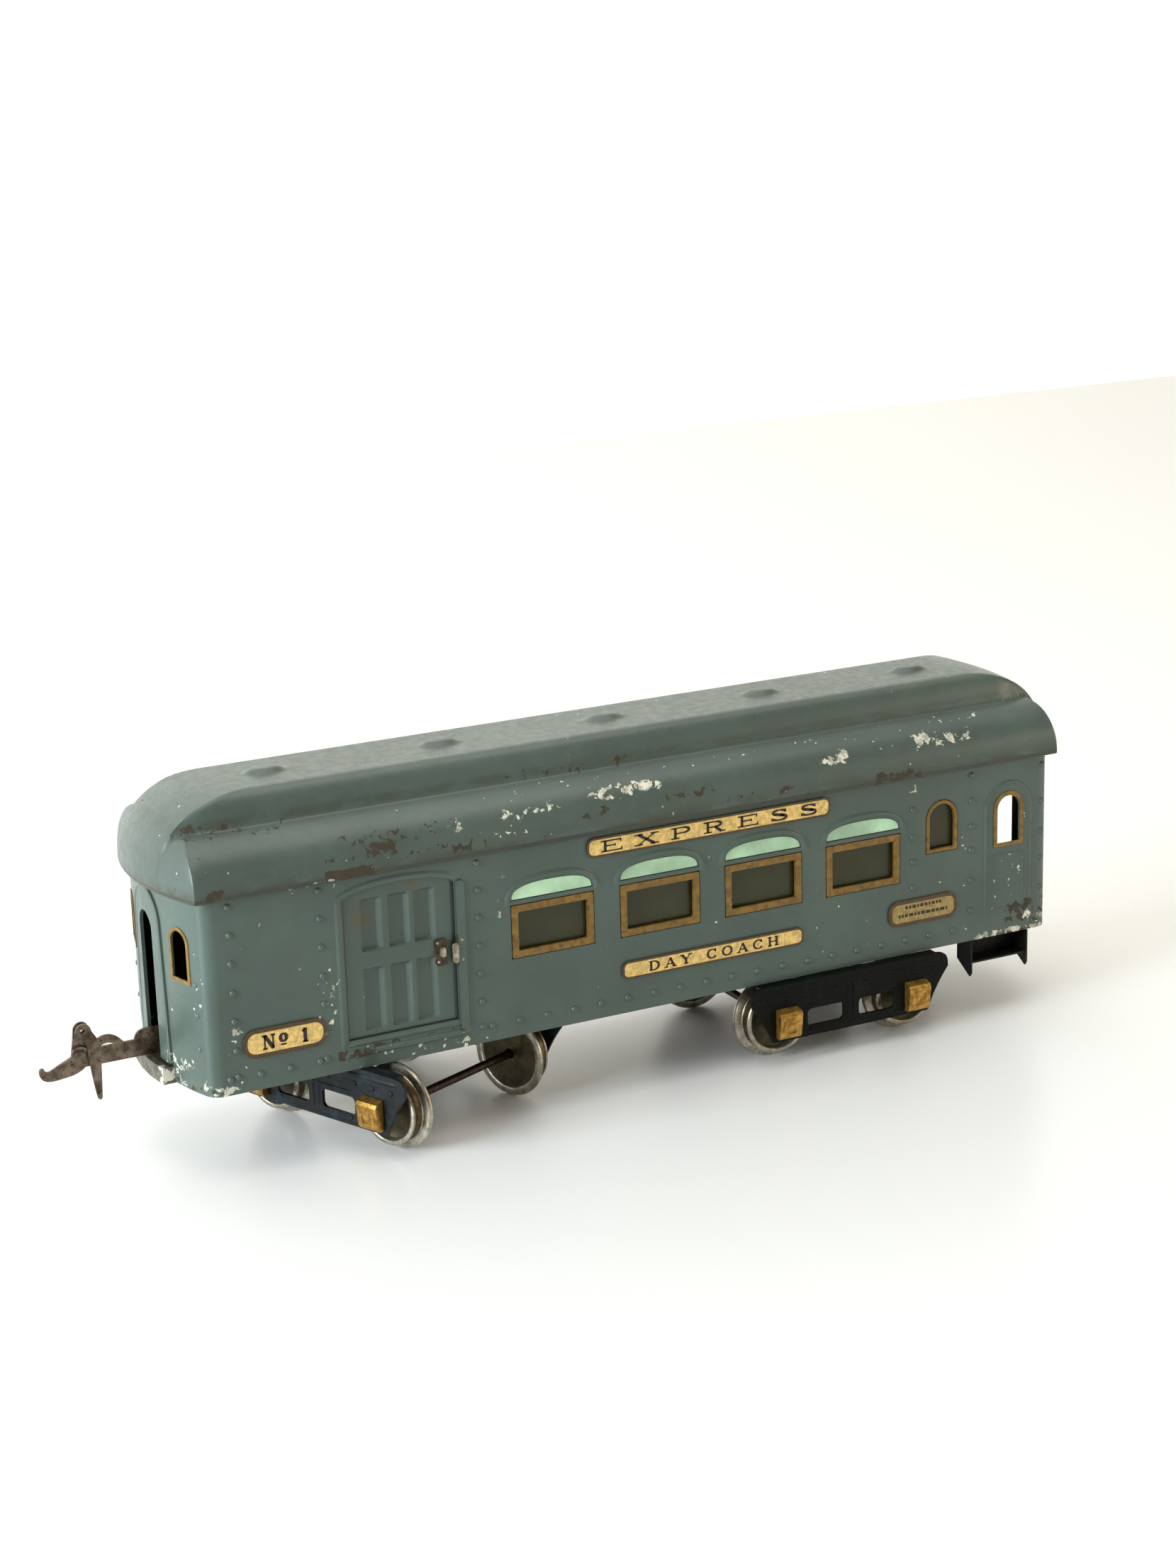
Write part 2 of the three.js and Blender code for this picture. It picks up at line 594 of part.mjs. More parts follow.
// hanging side step: back plate, tread and two pointed cheeks, under the rear vestibule door
function sideStep() {
  const { left, right, outer, inner, tread, cheekTop, cheekTip } = STEP;
  const hanger = FLOOR_TOP - SHEET - GAP;
  const hangerDepth = 4;
  const cheek = polygon([[outer, cheekTop], [outer, cheekTip + 1.4], [outer + 0.9, cheekTip],
    [outer + 2.2, cheekTip + 0.8], [inner, tread], [inner, cheekTop]]);
  return joined(
    box(left, right, inner - SHEET, inner, tread, hanger),
    box(left, right, outer + SHEET, inner, tread, tread + SHEET),
    box(left, right, inner - SHEET, inner + hangerDepth, hanger - SHEET, hanger),
    alongX(cheek, left, left + SHEET),
    alongX(cheek, right - SHEET, right),
  );
}

function buildFloor() {
  place('floor_pan', floorPan(), blackEnamel);
  placeOnBothSides('side_step', sideStep(), blackEnamel);
}

// ---- trucks -----------------------------------------------------------------------------

const FRAME_SHEET = FRAME.outer - FRAME.inner;

// outline of a side frame in its own (x, z), symmetric about x = 0
function sideFrameShape() {
  const { halfLength, top, bottom, corner } = FRAME;
  const { shoulder, waist, waistHeight, foot } = FRAME_TAPER;
  const shape = new THREE.Shape();
  shape.moveTo(-halfLength + corner, top);
  shape.quadraticCurveTo(-halfLength, top, -halfLength, top - corner);
  shape.lineTo(-halfLength, top - shoulder);
  shape.quadraticCurveTo(-halfLength + waist, bottom + waistHeight, -halfLength + foot, bottom);
  shape.lineTo(halfLength - foot, bottom);
  shape.quadraticCurveTo(halfLength - waist, bottom + waistHeight, halfLength, top - shoulder);
  shape.lineTo(halfLength, top - corner);
  shape.quadraticCurveTo(halfLength, top, halfLength - corner, top);
  shape.closePath();
  for (const side of [-1, 1]) {
    shape.holes.push(roundedRectangle(side * 10.4, 15.9, 14.6, 6.2, 1.4));
    const bore = new THREE.Path();
    bore.absarc((side * WHEELBASE) / 2, AXLE_HEIGHT, AXLE_RADIUS + GAP, 0, 2 * Math.PI);
    shape.holes.push(bore);
  }
  return shape;
}

// pressed side frame whose top edge is folded in towards the body
function sideFrame() {
  const { inner, outer, halfLength, top, flange, corner } = FRAME;
  const half = halfLength - corner;
  const fold = box(-half, half, -outer, -inner + flange, top - FRAME_SHEET, top);
  return joined(alongY(sideFrameShape(), -outer, -inner, 4), fold);
}

function bolster() {
  const reach = FRAME.inner - GAP;
  const { halfLength, bottom, thickness, endBottom } = BOLSTER;
  const endTop = FRAME.top - FRAME_SHEET - GAP;
  const block = joined(
    box(-halfLength, halfLength, -reach, reach, bottom, bottom + thickness),
    box(-halfLength, halfLength, -reach, -reach + thickness, endBottom, endTop),
    box(-halfLength, halfLength, reach - thickness, reach, endBottom, endTop),
    rod(BEARING_RADIUS, bottom, FLOOR_TOP - SHEET - GAP, 24),
  );
  return cut(block, rod(KING_PIN_RADIUS + GAP, bottom - 2, FLOOR_TOP + 2));
}

// bearing cover: deeper and wider at the top, with a sloping lid
function journalBox() {
  const { width, height, depth } = JOURNAL;
  const back = -FRAME.outer - GAP;
  const profile = polygon([[back, -height / 2], [back, height / 2], [back - depth + 0.6, height / 2 - 0.9],
    [back - depth, height / 2 - 1.9], [back - depth + 1, -height / 2 + 0.8],
    [back - depth + 1.6, -height / 2]]);
  return alongX(profile, -width / 2, width / 2).translate(0, 0, AXLE_HEIGHT + JOURNAL.above);
}

// wheel profile as radius and distance from the truck's middle line: inner flange, tread, outer bead
function wheel() {
  const { inner, outer, flange } = WHEEL;
  const hub = AXLE_RADIUS + GAP;
  const profile = [
    [hub, inner + 0.6], [FLANGE_RADIUS - 3, inner + 0.6], [FLANGE_RADIUS - 2.2, inner],
    [FLANGE_RADIUS, inner + 0.4], [FLANGE_RADIUS - 0.3, inner + flange],
    [TREAD_RADIUS - 0.3, inner + flange + 0.6],
    [TREAD_RADIUS, outer], [TREAD_RADIUS - 1.5, outer], [TREAD_RADIUS - 2.2, outer - 2],
    [3.4, outer - 2], [3, outer - 0.4], [hub, outer - 0.4], [hub, inner + 0.6],
  ];
  return new THREE.LatheGeometry(profile.map(([r, y]) => new THREE.Vector2(r, y)), 20);
}

function buildTruck(end) {
  const x = TRUCK_X[end];
  const truck = new THREE.Group();
  truck.position.x = x;
  truck.rotation.z = TRUCK_TURN[end];
  coach.add(truck);
  place(`${end}_truck_bolster`, bolster(), blackEnamel, truck);
  const near = sideFrame();
  place(`${end}_truck_frame_near`, near, blackEnamel, truck);
  place(`${end}_truck_frame_far`, near.clone().rotateZ(Math.PI), blackEnamel, truck);
  for (const [axleName, side] of [['leading', -1], ['trailing', 1]]) {
    const axleX = (side * WHEELBASE) / 2;
    for (const [sideName, spin] of [['near', 0], ['far', Math.PI]]) {
      place(`${end}_journal_box_${axleName}_${sideName}`,
        journalBox().rotateZ(spin).translate(axleX, 0, 0), brass, truck);
      const disc = sideName === 'near' ? wheel().rotateZ(Math.PI) : wheel();
      place(`${end}_wheel_${axleName}_${sideName}`, disc.translate(axleX, 0, AXLE_HEIGHT), nickel, truck);
    }
    const reach = FRAME.outer - GAP;
    place(`${end}_axle_${axleName}`,
      rod(AXLE_RADIUS, -reach, reach).rotateX(Math.PI / 2).translate(axleX, 0, AXLE_HEIGHT),
      bareSteel, truck);
  }
  place(`${end}_king_pin`,
    rivet(KING_PIN_RADIUS, 3.8, 1.2, BOLSTER.bottom - GAP - 1.2, FLOOR_TOP + GAP + 1.2).translate(x, 0, 0),
    bareSteel);
}

// ---- coupler ----------------------------------------------------------------------------

function drawbar() {
  const bottom = PLATFORM.top + GAP;
  const outline = new THREE.Shape();
  outline.moveTo(-152, bottom);
  outline.lineTo(-188, bottom);
  outline.lineTo(-191, bottom - 1.8);
  outline.lineTo(-197.5, bottom - 2.7);
  outline.quadraticCurveTo(-HOOK_REACH, bottom - 3, -HOOK_REACH, bottom + 1.4);
  outline.quadraticCurveTo(-202.6, bottom + 2.6, -201.4, bottom + 2);
  outline.quadraticCurveTo(-201, bottom, -199.2, bottom + 0.8);
  outline.lineTo(-193, bottom + 4);
  outline.absarc(LATCH_PIVOT.x, LATCH_PIVOT.z, 2.9, Math.PI, 0.2 * Math.PI, true);
  outline.lineTo(-171.5, bottom + 5.8);
  outline.quadraticCurveTo(-171, bottom + 8, -168, bottom + 9);
  outline.lineTo(-161, bottom + 9);
  outline.lineTo(-158, bottom + 5.8);
  outline.lineTo(-152, bottom + 5.8);
  outline.closePath();
  const half = DRAWBAR_THICKNESS / 2;
  const blade = alongY(outline, -half, half);
  const tongue = upwards(roundedRectangle(-150.5, 0, 13, 9, 4), bottom, bottom + DRAWBAR_THICKNESS);
  const pivotHole = rod(1.5 + GAP, bottom - 2, bottom + 9).translate(DRAWBAR_PIVOT_X, 0, 0);
  const latchHole = rod(1.2, -3, 3).rotateX(Math.PI / 2).translate(LATCH_PIVOT.x, 0, LATCH_PIVOT.z);
  return cut(joined(blade, tongue), pivotHole, latchHole);
}

// latch folded over the drawbar: pivoted cheek on the far side, pointer and tail on the near side
function latchLever() {
  const inner = DRAWBAR_THICKNESS / 2 + GAP;
  const outer = inner + LATCH_THICKNESS;
  const { x, z } = LATCH_PIVOT;
  const farCheek = new THREE.Shape();
  farCheek.absarc(x, z, 2.6, Math.PI, 1.75 * Math.PI);
  farCheek.lineTo(x + 6.2, z + 1.6);
  farCheek.lineTo(x + 6.4, z + 4.4);
  farCheek.lineTo(x + 3.8, z + 8);
  farCheek.absarc(x + 1.2, z + 8, 2.6, 0, Math.PI);
  farCheek.closePath();
  const pointer = new THREE.Shape();
  pointer.moveTo(x + 2.3, z + 0.6);
  pointer.lineTo(x + 2.6, z - 4);
  pointer.lineTo(x + 3.4, z - 8);
  pointer.lineTo(x + 4.3, z - 15.4);
  pointer.lineTo(x + 5.2, z - 15.8);
  pointer.lineTo(x + 5.9, z - 15);
  pointer.lineTo(x + 6.3, z - 6);
  pointer.lineTo(x + 6.4, z + 4.4);
  pointer.lineTo(x + 3.8, z + 8);
  pointer.absarc(x + 1.2, z + 8, 2.6, 0, Math.PI);
  pointer.closePath();
  for (const plate of [farCheek, pointer]) {
    const eye = new THREE.Path();
    eye.absarc(x + 1, z + 8.1, 0.8, 0, 2 * Math.PI);
    plate.holes.push(eye);
  }
  const tail = new THREE.Shape();
  tail.moveTo(x + 4, z + 3.4);
  tail.quadraticCurveTo(x + 10.6, z + 8.4, x + 15.8, z - 0.6);
  tail.lineTo(x + 14, z - 1.4);
  tail.quadraticCurveTo(x + 10, z + 4.8, x + 5.6, z + 1.4);
  tail.closePath();
  const bridge = box(x + 2.6, x + 6.4, -outer, outer, z + 2.1, z + 3.1);
  const solid = joined(alongY(farCheek, inner, outer, 6), alongY(pointer, -outer, -inner, 6),
    alongY(tail, -outer, -inner, 6), bridge);
  return cut(solid, rod(1.2, 0, 4).rotateX(-Math.PI / 2).translate(x, 0, z));
}

function buildCoupler() {
  place('drawbar', drawbar(), bareSteel);
  const floorBottom = FLOOR_TOP - SHEET;
  const drawbarTop = PLATFORM.top + GAP + DRAWBAR_THICKNESS;
  const floorRivet = rivet(1.5, 2.8, 1, floorBottom - GAP - 1, drawbarTop + GAP + 1);
  place('drawbar_rivet', floorRivet.translate(DRAWBAR_PIVOT_X, 0, 0), bareSteel);
  place('latch_lever', latchLever(), bareSteel);
  const face = DRAWBAR_THICKNESS / 2 + GAP;
  const latchRivet = rivet(0.9, 1.8, 0.5, -face - 0.5, face + LATCH_THICKNESS + GAP + 0.5);
  place('latch_rivet',
    latchRivet.rotateX(-Math.PI / 2).translate(LATCH_PIVOT.x, 0, LATCH_PIVOT.z), bareSteel);
}

// ---- nameplates -------------------------------------------------------------------------

function buildPlates() {
  const face = -HALF_WIDTH - GAP;
  for (const { name, x, z, width, height, round } of PLATES) {
    const outline = roundedRectangle(x, z, width, height, round);
    placeOnBothSides(name, alongY(outline, face - PLATE_THICKNESS, face, 3), gold);
  }
}

buildBody();
buildWindows();
buildDoors();
buildRoof();
buildFloor();
buildTruck('front');
buildTruck('rear');
buildCoupler();
buildPlates();

export default coach;
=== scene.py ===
import math
import random

import bmesh
import bpy
import numpy as np
from mathutils import Matrix, Vector
from mathutils.geometry import tessellate_polygon


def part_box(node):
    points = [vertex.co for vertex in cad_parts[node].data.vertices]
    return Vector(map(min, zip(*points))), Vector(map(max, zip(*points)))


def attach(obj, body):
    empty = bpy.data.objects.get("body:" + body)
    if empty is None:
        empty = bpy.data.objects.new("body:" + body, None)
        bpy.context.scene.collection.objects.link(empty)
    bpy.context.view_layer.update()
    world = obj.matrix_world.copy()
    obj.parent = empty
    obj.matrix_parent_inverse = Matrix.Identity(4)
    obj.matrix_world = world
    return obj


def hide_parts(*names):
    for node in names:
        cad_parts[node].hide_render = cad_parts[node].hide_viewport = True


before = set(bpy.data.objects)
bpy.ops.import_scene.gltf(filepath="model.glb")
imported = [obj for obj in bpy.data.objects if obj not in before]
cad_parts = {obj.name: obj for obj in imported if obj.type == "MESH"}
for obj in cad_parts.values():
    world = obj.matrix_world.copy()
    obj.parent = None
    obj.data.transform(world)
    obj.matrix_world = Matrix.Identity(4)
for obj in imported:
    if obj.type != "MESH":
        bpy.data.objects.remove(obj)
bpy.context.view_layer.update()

random.seed(7)

# Lengths are millimetres in the coach's own frame: x from the middle of the body towards the rear,
# y from its centre line to the far side, z upwards.
MM = 0.001
BODY_BOTTOM = 30.0
shell_low, shell_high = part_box("side_panel_near")
ORIGIN = Vector(((shell_low.x + shell_high.x) / 2 / MM, 0, shell_low.z / MM - BODY_BOTTOM))


def node_box(name):
    low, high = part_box(name)
    return low / MM - ORIGIN, high / MM - ORIGIN


PANEL_LOW, PANEL_HIGH = node_box("side_panel_near")
ROOF_LOW, ROOF_HIGH = node_box("roof_shell")

HALF_WIDTH = -PANEL_LOW.y
PANEL_TOP = PANEL_HIGH.z
END_RADIUS = 92.0
CORNER_RADIUS = 5.5
SHEET = 0.6
END_CENTRE = PANEL_HIGH.x - END_RADIUS
CORNER_Y = HALF_WIDTH - CORNER_RADIUS
CORNER_X = END_CENTRE + math.sqrt((END_RADIUS - CORNER_RADIUS) ** 2 - CORNER_Y ** 2)
CORNER_ANGLE = math.asin(CORNER_Y / (END_RADIUS - CORNER_RADIUS))
CORNER_RUN = CORNER_RADIUS * (math.pi / 2 - CORNER_ANGLE)


# ---- making meshes ----------------------------------------------------------------------

def row_frame(points):
    return (np.asarray(points, float) + np.asarray(ORIGIN)) * MM


def piece(name, parts, materials, body, slot, replaces=(), bevel=0.0, crease=35):
    """One object from one or more (points, faces[, material index]) parts, riding on a body."""
    points, faces, indices = [], [], []
    for part in parts:
        start = len(points)
        points.extend(part[0])
        faces.extend([start + i for i in face] for face in part[1])
        indices.extend([part[2] if len(part) > 2 else 0] * len(part[1]))
    mesh = bpy.data.meshes.new(name)
    mesh.from_pydata(row_frame(points).tolist(), [], faces)
    mesh.polygons.foreach_set("material_index", indices)
    work = bmesh.new()
    work.from_mesh(mesh)
    bmesh.ops.remove_doubles(work, verts=work.verts, dist=1e-7)
    bmesh.ops.recalc_face_normals(work, faces=work.faces)
    work.to_mesh(mesh)
    work.free()
    mesh.shade_smooth()
    mesh.set_sharp_from_angle(angle=math.radians(crease))
    obj = bpy.data.objects.new(name, mesh)
    bpy.context.scene.collection.objects.link(obj)
    for material in materials if isinstance(materials, (list, tuple)) else [materials]:
        mesh.materials.append(material)
    if bevel:
        soften(obj, bevel)
    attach(obj, body)
    if replaces:
        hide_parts(*replaces)


def soften(obj, width):
    rounding = obj.modifiers.new("rounding", "BEVEL")
    rounding.width = width * MM
    rounding.segments = 2
    rounding.limit_method = "ANGLE"
    rounding.angle_limit = math.radians(38)
    rounding.harden_normals = True


def mirrored(parts):
    return [([(x, -y, z) for x, y, z in part[0]], *part[1:]) for part in parts]


def both_sides(name, parts, materials, body, slot, replaces=(), **options):
    """The near-side piece and its mirror image; "near" in body and node names turns to "far"."""
    for side, shown in (("near", parts), ("far", mirrored(parts))):
        piece(f"{name}_{side}", shown, materials, body.replace("near", side), slot,
              [node.replace("near", side) for node in replaces], **options)


# ---- outlines ---------------------------------------------------------------------------

def arc(x, z, radius, start, stop, steps, height=None):
    height = radius if height is None else height
    return [(x + radius * math.cos(a), z + height * math.sin(a))
            for a in (start + (stop - start) * i / steps for i in range(steps + 1))]


def rectangle(left, right, bottom, top):
    return [(left, bottom), (right, bottom), (right, top), (left, top)]


def rounded(x, z, width, height, radius, steps=8):
    a, b = width / 2 - radius, height / 2 - radius
    quarter = math.pi / 2
    return (arc(x + a, z - b, radius, -quarter, 0, steps) + arc(x + a, z + b, radius, 0, quarter, steps)
            + arc(x - a, z + b, radius, quarter, math.pi, steps)
            + arc(x - a, z - b, radius, math.pi, 3 * quarter, steps))


def arched(middle, width, bottom, top, steps=24):
    half = width / 2
    crown = arc(middle, top - half, half, 0, math.pi, steps)
    return [(middle - half, bottom), (middle + half, bottom)] + crown


def shallow_arch(left, right, bottom, shoulder, top, steps=32):
    half = (right - left) / 2
    return [(left, bottom), (right, bottom)] + arc(
        (left + right) / 2, shoulder, half, 0, math.pi, steps, top - shoulder)


def curve(start, control, stop, steps=8):
    """Points of a quadratic curve, without its start."""
    shown = []
    for i in range(1, steps + 1):
        t = i / steps
        shown.append(tuple((1 - t) ** 2 * a + 2 * t * (1 - t) * b + t * t * c
                           for a, b, c in zip(start, control, stop)))
    return shown


def bends(at, start, *turns):
    """Curves one after another, each (control, stop, steps), with places counted from a point."""
    shown = []
    for control, stop, steps in turns:
        ends = [(at[0] + u, at[1] + v) for u, v in (start, control, stop)]
        shown += curve(*ends, steps)
        start = stop
    return shown


def circle(x, z, radius, steps):
    return arc(x, z, radius, 0, 2 * math.pi, steps)[:-1]


# ---- surfaces that an outline is laid on: (along, up, height off the surface) -> point ---

def near_side(u, v, h):
    """Along the side, round the corner and across the end as far as its middle."""
    run = abs(u) - CORNER_X
    if run <= 0:
        return (u, -HALF_WIDTH - h, v)
    if run <= CORNER_RUN:
        turn = run / CORNER_RADIUS
        reach = CORNER_RADIUS + h
        return (math.copysign(CORNER_X + reach * math.sin(turn), u), -CORNER_Y - reach * math.cos(turn), v)
    bearing = CORNER_ANGLE - (run - CORNER_RUN) / END_RADIUS
    reach = END_RADIUS + h
    return (math.copysign(END_CENTRE + reach * math.cos(bearing), u), -reach * math.sin(bearing), v)


def end_run(y):
    """How far along the shell a place on the end lies, y being its distance from the centre line."""
    return CORNER_X + CORNER_RUN + END_RADIUS * (CORNER_ANGLE - math.asin(y / END_RADIUS))


def bowed_end(sign):
    return lambda u, v, h: (sign * (END_CENTRE + math.sqrt((END_RADIUS + h) ** 2 - u * u)), u, v)


def upright(y):
    return lambda u, v, h: (u, y - h, v)


def level(z):
    return lambda u, v, h: (u, v, z + h)


def slab(outline, low, high, surface, holes=(), index=0):
    """A closed solid: the outline, less its holes, from height low to height high off a surface."""
    loops = [list(outline)] + [list(hole) for hole in holes]
    for loop in loops:
        if math.dist(loop[0], loop[-1]) < 1e-6:
            loop.pop()
    flat = [p for loop in loops for p in loop]
    triangles = tessellate_polygon([[Vector((u, v, 0)) for u, v in loop] for loop in loops])
    count = len(flat)
    points = [surface(u, v, low) for u, v in flat] + [surface(u, v, high) for u, v in flat]
    faces = [tuple(t) for t in triangles] + [tuple(count + i for i in reversed(t)) for t in triangles]
    start = 0
    for loop in loops:
        size = len(loop)
        for i in range(size):
            a, b = start + i, start + (i + 1) % size
            faces.append((a, b, count + b, count + a))
        start += size
    return points, faces, index


def wrapped(part, cuts, surface):
    """A flat slab cut across at the given places along it and laid on a curved surface."""
    work = bmesh.new()
    verts = [work.verts.new(point) for point in part[0]]
    for face in part[1]:
        work.faces.new([verts[i] for i in face])
    for cut in cuts:
        everything = work.verts[:] + work.edges[:] + work.faces[:]
        bmesh.ops.bisect_plane(work, geom=everything, plane_co=(cut, 0, 0), plane_no=(1, 0, 0))
    work.verts.index_update()
    points = [surface(*vert.co) for vert in work.verts]
    faces = [[vert.index for vert in face.verts] for face in work.faces]
    inner = [all(vert.co.z < 0 for vert in face.verts) for face in work.faces]
    work.free()
    shown = ([face for face, hidden in zip(faces, inner) if not hidden],
             [face for face, hidden in zip(faces, inner) if hidden])
    return [(points, shown[0], part[2]), (points, shown[1], part[2] + 1)]


def flat(u, v, h):
    return (u, v, h)


SUNK = 0.015   # how far the edge of a raised detail lies under the sheet's surface


def bead(path, width, height, surface, index=0, flat=0.0):
    """A soft raised line pressed into the sheet along a path."""
    steps = 4
    count = len(path)
    points, faces = [], []
    lengths = [0.0]
    for a, b in zip(path, path[1:]):
        lengths.append(lengths[-1] + math.dist(a, b))
    for i, (u, v) in enumerate(path):
        before, after = path[max(i - 1, 0)], path[min(i + 1, count - 1)]
        du, dv = after[0] - before[0], after[1] - before[1]
        size = math.hypot(du, dv) or 1
        nu, nv = -dv / size, du / size
        fade = min(1, (min(lengths[i], lengths[-1] - lengths[i]) + 0.05) / width)
        for k in range(-steps, steps + 1):
            t = k / steps
            rise = max(0.0, (abs(t) - flat) / (1 - flat))
            lift = height * fade * math.cos(rise * math.pi / 2) ** 2 - SUNK
            points.append(surface(u + nu * t * width / 2, v + nv * t * width / 2, lift))
    row = 2 * steps + 1
    for i in range(count - 1):
        a, b = i * row, (i + 1) * row
        faces.extend((a + k, a + k + 1, b + k + 1, b + k) for k in range(row - 1))
    return points, faces, index


def dome(u, v, radius, height, surface):
    """A low round rivet head."""
    around, rings = 14, 5
    points = [surface(u, v, height)]
    for ring in range(1, rings + 1):
        tilt = ring / rings * math.pi / 2
        for i in range(around):
            a = 2 * math.pi * i / around
            reach = radius * math.sin(tilt)
            across, up = reach * math.cos(a), reach * math.sin(a)
            points.append(surface(u + across, v + up, height * math.cos(tilt) - SUNK))
    faces = [(0, 1 + i, 1 + (i + 1) % around) for i in range(around)]
    for ring in range(rings - 1):
        a, b = 1 + ring * around, 1 + (ring + 1) * around
        faces.extend((a + i, b + i, b + (i + 1) % around, a + (i + 1) % around) for i in range(around))
    return points, faces


def lathe(profile, segments=64, index=0):
    """A profile of (radius, place along the axis) turned about the y axis."""
    points, faces = [], []
    for radius, along in profile:
        for i in range(segments):
            a = 2 * math.pi * i / segments
            points.append((radius * math.cos(a), along, radius * math.sin(a)))
    for ring in range(len(profile) - 1):
        a, b = ring * segments, (ring + 1) * segments
        faces.extend((a + i, a + (i + 1) % segments, b + (i + 1) % segments, b + i) for i in range(segments))
    return points, faces, index


def moved(part, x=0, z=0, turn=0.0):
    c, s = math.cos(turn), math.sin(turn)
    return ([(c * px - s * py + x, s * px + c * py, pz + z) for px, py, pz in part[0]], *part[1:])


def upright_axis(part):
    """Turns something made about the y axis so that it stands along z."""
    return ([(px, -pz, py) for px, py, pz in part[0]], *part[1:])


def densified(path, step):
    shown = []
    for a, b in zip(path, path[1:]):
        parts = max(1, math.ceil(math.dist(a, b) / step))
        shown.extend((a[0] + (b[0] - a[0]) * i / parts, a[1] + (b[1] - a[1]) * i / parts)
                     for i in range(parts))
    return shown + [path[-1]]


# ---- materials --------------------------------------------------------------------------

def linear(red, green, blue):
    def channel(value):
        value /= 255
        return value / 12.92 if value <= 0.04045 else ((value + 0.055) / 1.055) ** 2.4
    return (channel(red), channel(green), channel(blue), 1)


class Finish:
    """A node material in the piece's own coordinates, in millimetres of the coach's frame."""

    def __init__(self, name, metallic=0.0, specular=0.5):
        self.material = bpy.data.materials.new(name)
        self.material.use_nodes = True
        self.tree = self.material.node_tree
        self.shader = self.tree.nodes["Principled BSDF"]
        self.shader.inputs["Metallic"].default_value = metallic
        self.shader.inputs["Specular IOR Level"].default_value = specular
        coordinates = self.add("ShaderNodeTexCoord")
        scaled = self.add("ShaderNodeVectorMath", operation="MULTIPLY_ADD")
        self.feed(scaled, 0, coordinates.outputs["Object"])
        self.feed(scaled, 1, (1 / MM, 1 / MM, 1 / MM))
        self.feed(scaled, 2, tuple(-ORIGIN))
        self.place = scaled.outputs[0]
        parts = self.add("ShaderNodeSeparateXYZ")
        self.feed(parts, 0, self.place)
        self.x, self.y, self.z = parts.outputs

    def add(self, kind, **settings):
        node = self.tree.nodes.new(kind)
        for key, value in settings.items():
            setattr(node, key, value)
        return node

    def feed(self, node, socket, value):
        target = node.inputs[socket]
        if isinstance(value, bpy.types.NodeSocket):
            self.tree.links.new(value, target)
        else:
            target.default_value = value

    def sum(self, operation, a, b=0.0, c=None):
        node = self.add("ShaderNodeMath", operation=operation)
        self.feed(node, 0, a)
        self.feed(node, 1, b)
        if c is not None:
            self.feed(node, 2, c)
        return node.outputs[0]

    def step(self, value, low, high):
        """0 below low, 1 above high, smooth between them; high may be the lower one."""
        node = self.add("ShaderNodeMapRange", interpolation_type="SMOOTHSTEP")
        self.feed(node, "Value", value)
        flipped = high < low
        self.feed(node, "From Min", min(low, high))
        self.feed(node, "From Max", max(low, high))
        self.feed(node, "To Min", 1.0 if flipped else 0.0)
        self.feed(node, "To Max", 0.0 if flipped else 1.0)
        return node.outputs["Result"]

    def band(self, value, low, high, soft):
        rising = self.step(value, low - soft, low + soft)
        falling = self.step(value, high + soft, high - soft)
        return self.sum("MULTIPLY", rising, falling)

    def all(self, *masks):
        result = masks[0]
        for mask in masks[1:]:
            result = self.sum("MULTIPLY", result, mask)
        return result

    def any(self, *masks):
        result = masks[0]
        for mask in masks[1:]:
            result = self.sum("MAXIMUM", result, mask)
        return result

    def noise(self, size, detail=4.0, roughness=0.55, stretch=(1, 1, 1), shift=(0, 0, 0), distortion=0.0):
        """Noise whose features are about that many millimetres across, stretched along the axes."""
        mapping = self.add("ShaderNodeMapping")
        self.feed(mapping, "Vector", self.place)
        self.feed(mapping, "Location", shift)
        self.feed(mapping, "Scale", tuple(1 / (size * s) for s in stretch))
        node = self.add("ShaderNodeTexNoise")
        self.feed(node, "Vector", mapping.outputs[0])
        self.feed(node, "Scale", 1.0)
        self.feed(node, "Detail", detail)
        self.feed(node, "Roughness", roughness)
        self.feed(node, "Distortion", distortion)
        return node.outputs["Fac"]

    def mix(self, amount, a, b):
        node = self.add("ShaderNodeMix", data_type="RGBA")
        self.feed(node, 0, amount)
        self.feed(node, 6, a)
        self.feed(node, 7, b)
        return node.outputs[2]

    def blend(self, amount, a, b):
        node = self.add("ShaderNodeMix", data_type="FLOAT")
        self.feed(node, 0, amount)
        self.feed(node, 2, a)
        self.feed(node, 3, b)
        return node.outputs[0]

    def finish(self, colour, roughness, height=None, depth=0.05):
        """depth is how many millimetres the height input, from 0 to 1, stands for."""
        self.feed(self.shader, "Base Color", colour)
        self.feed(self.shader, "Roughness", roughness)
        if height is not None:
            bump = self.add("ShaderNodeBump")
            self.feed(bump, "Strength", 1.0)
            self.feed(bump, "Distance", depth * MM)
            self.feed(bump, "Height", height)
            self.tree.links.new(bump.outputs[0], self.shader.inputs["Normal"])
        return self.material


CREAM_CHIP = linear(226, 222, 204)
GREY_CHIP = linear(168, 166, 148)
BROWN_RUST = linear(72, 60, 40)
DARK_RUST = linear(44, 40, 28)
# near-black painted shade, used under the eave, along the roof rim and in the seams round the baggage doors
SEAM_SHADE = linear(34, 38, 30)


def tinted(colour, factor):
    return linear(*[channel * factor for channel in colour])


def body_eave_shade(f, paint):
    """Painted shade: a dark band along the top of the sides, under the eave."""
    return f.mix(f.sum("MULTIPLY", f.step(f.z, 93.4, 94.4), 0.6), paint, SEAM_SHADE)


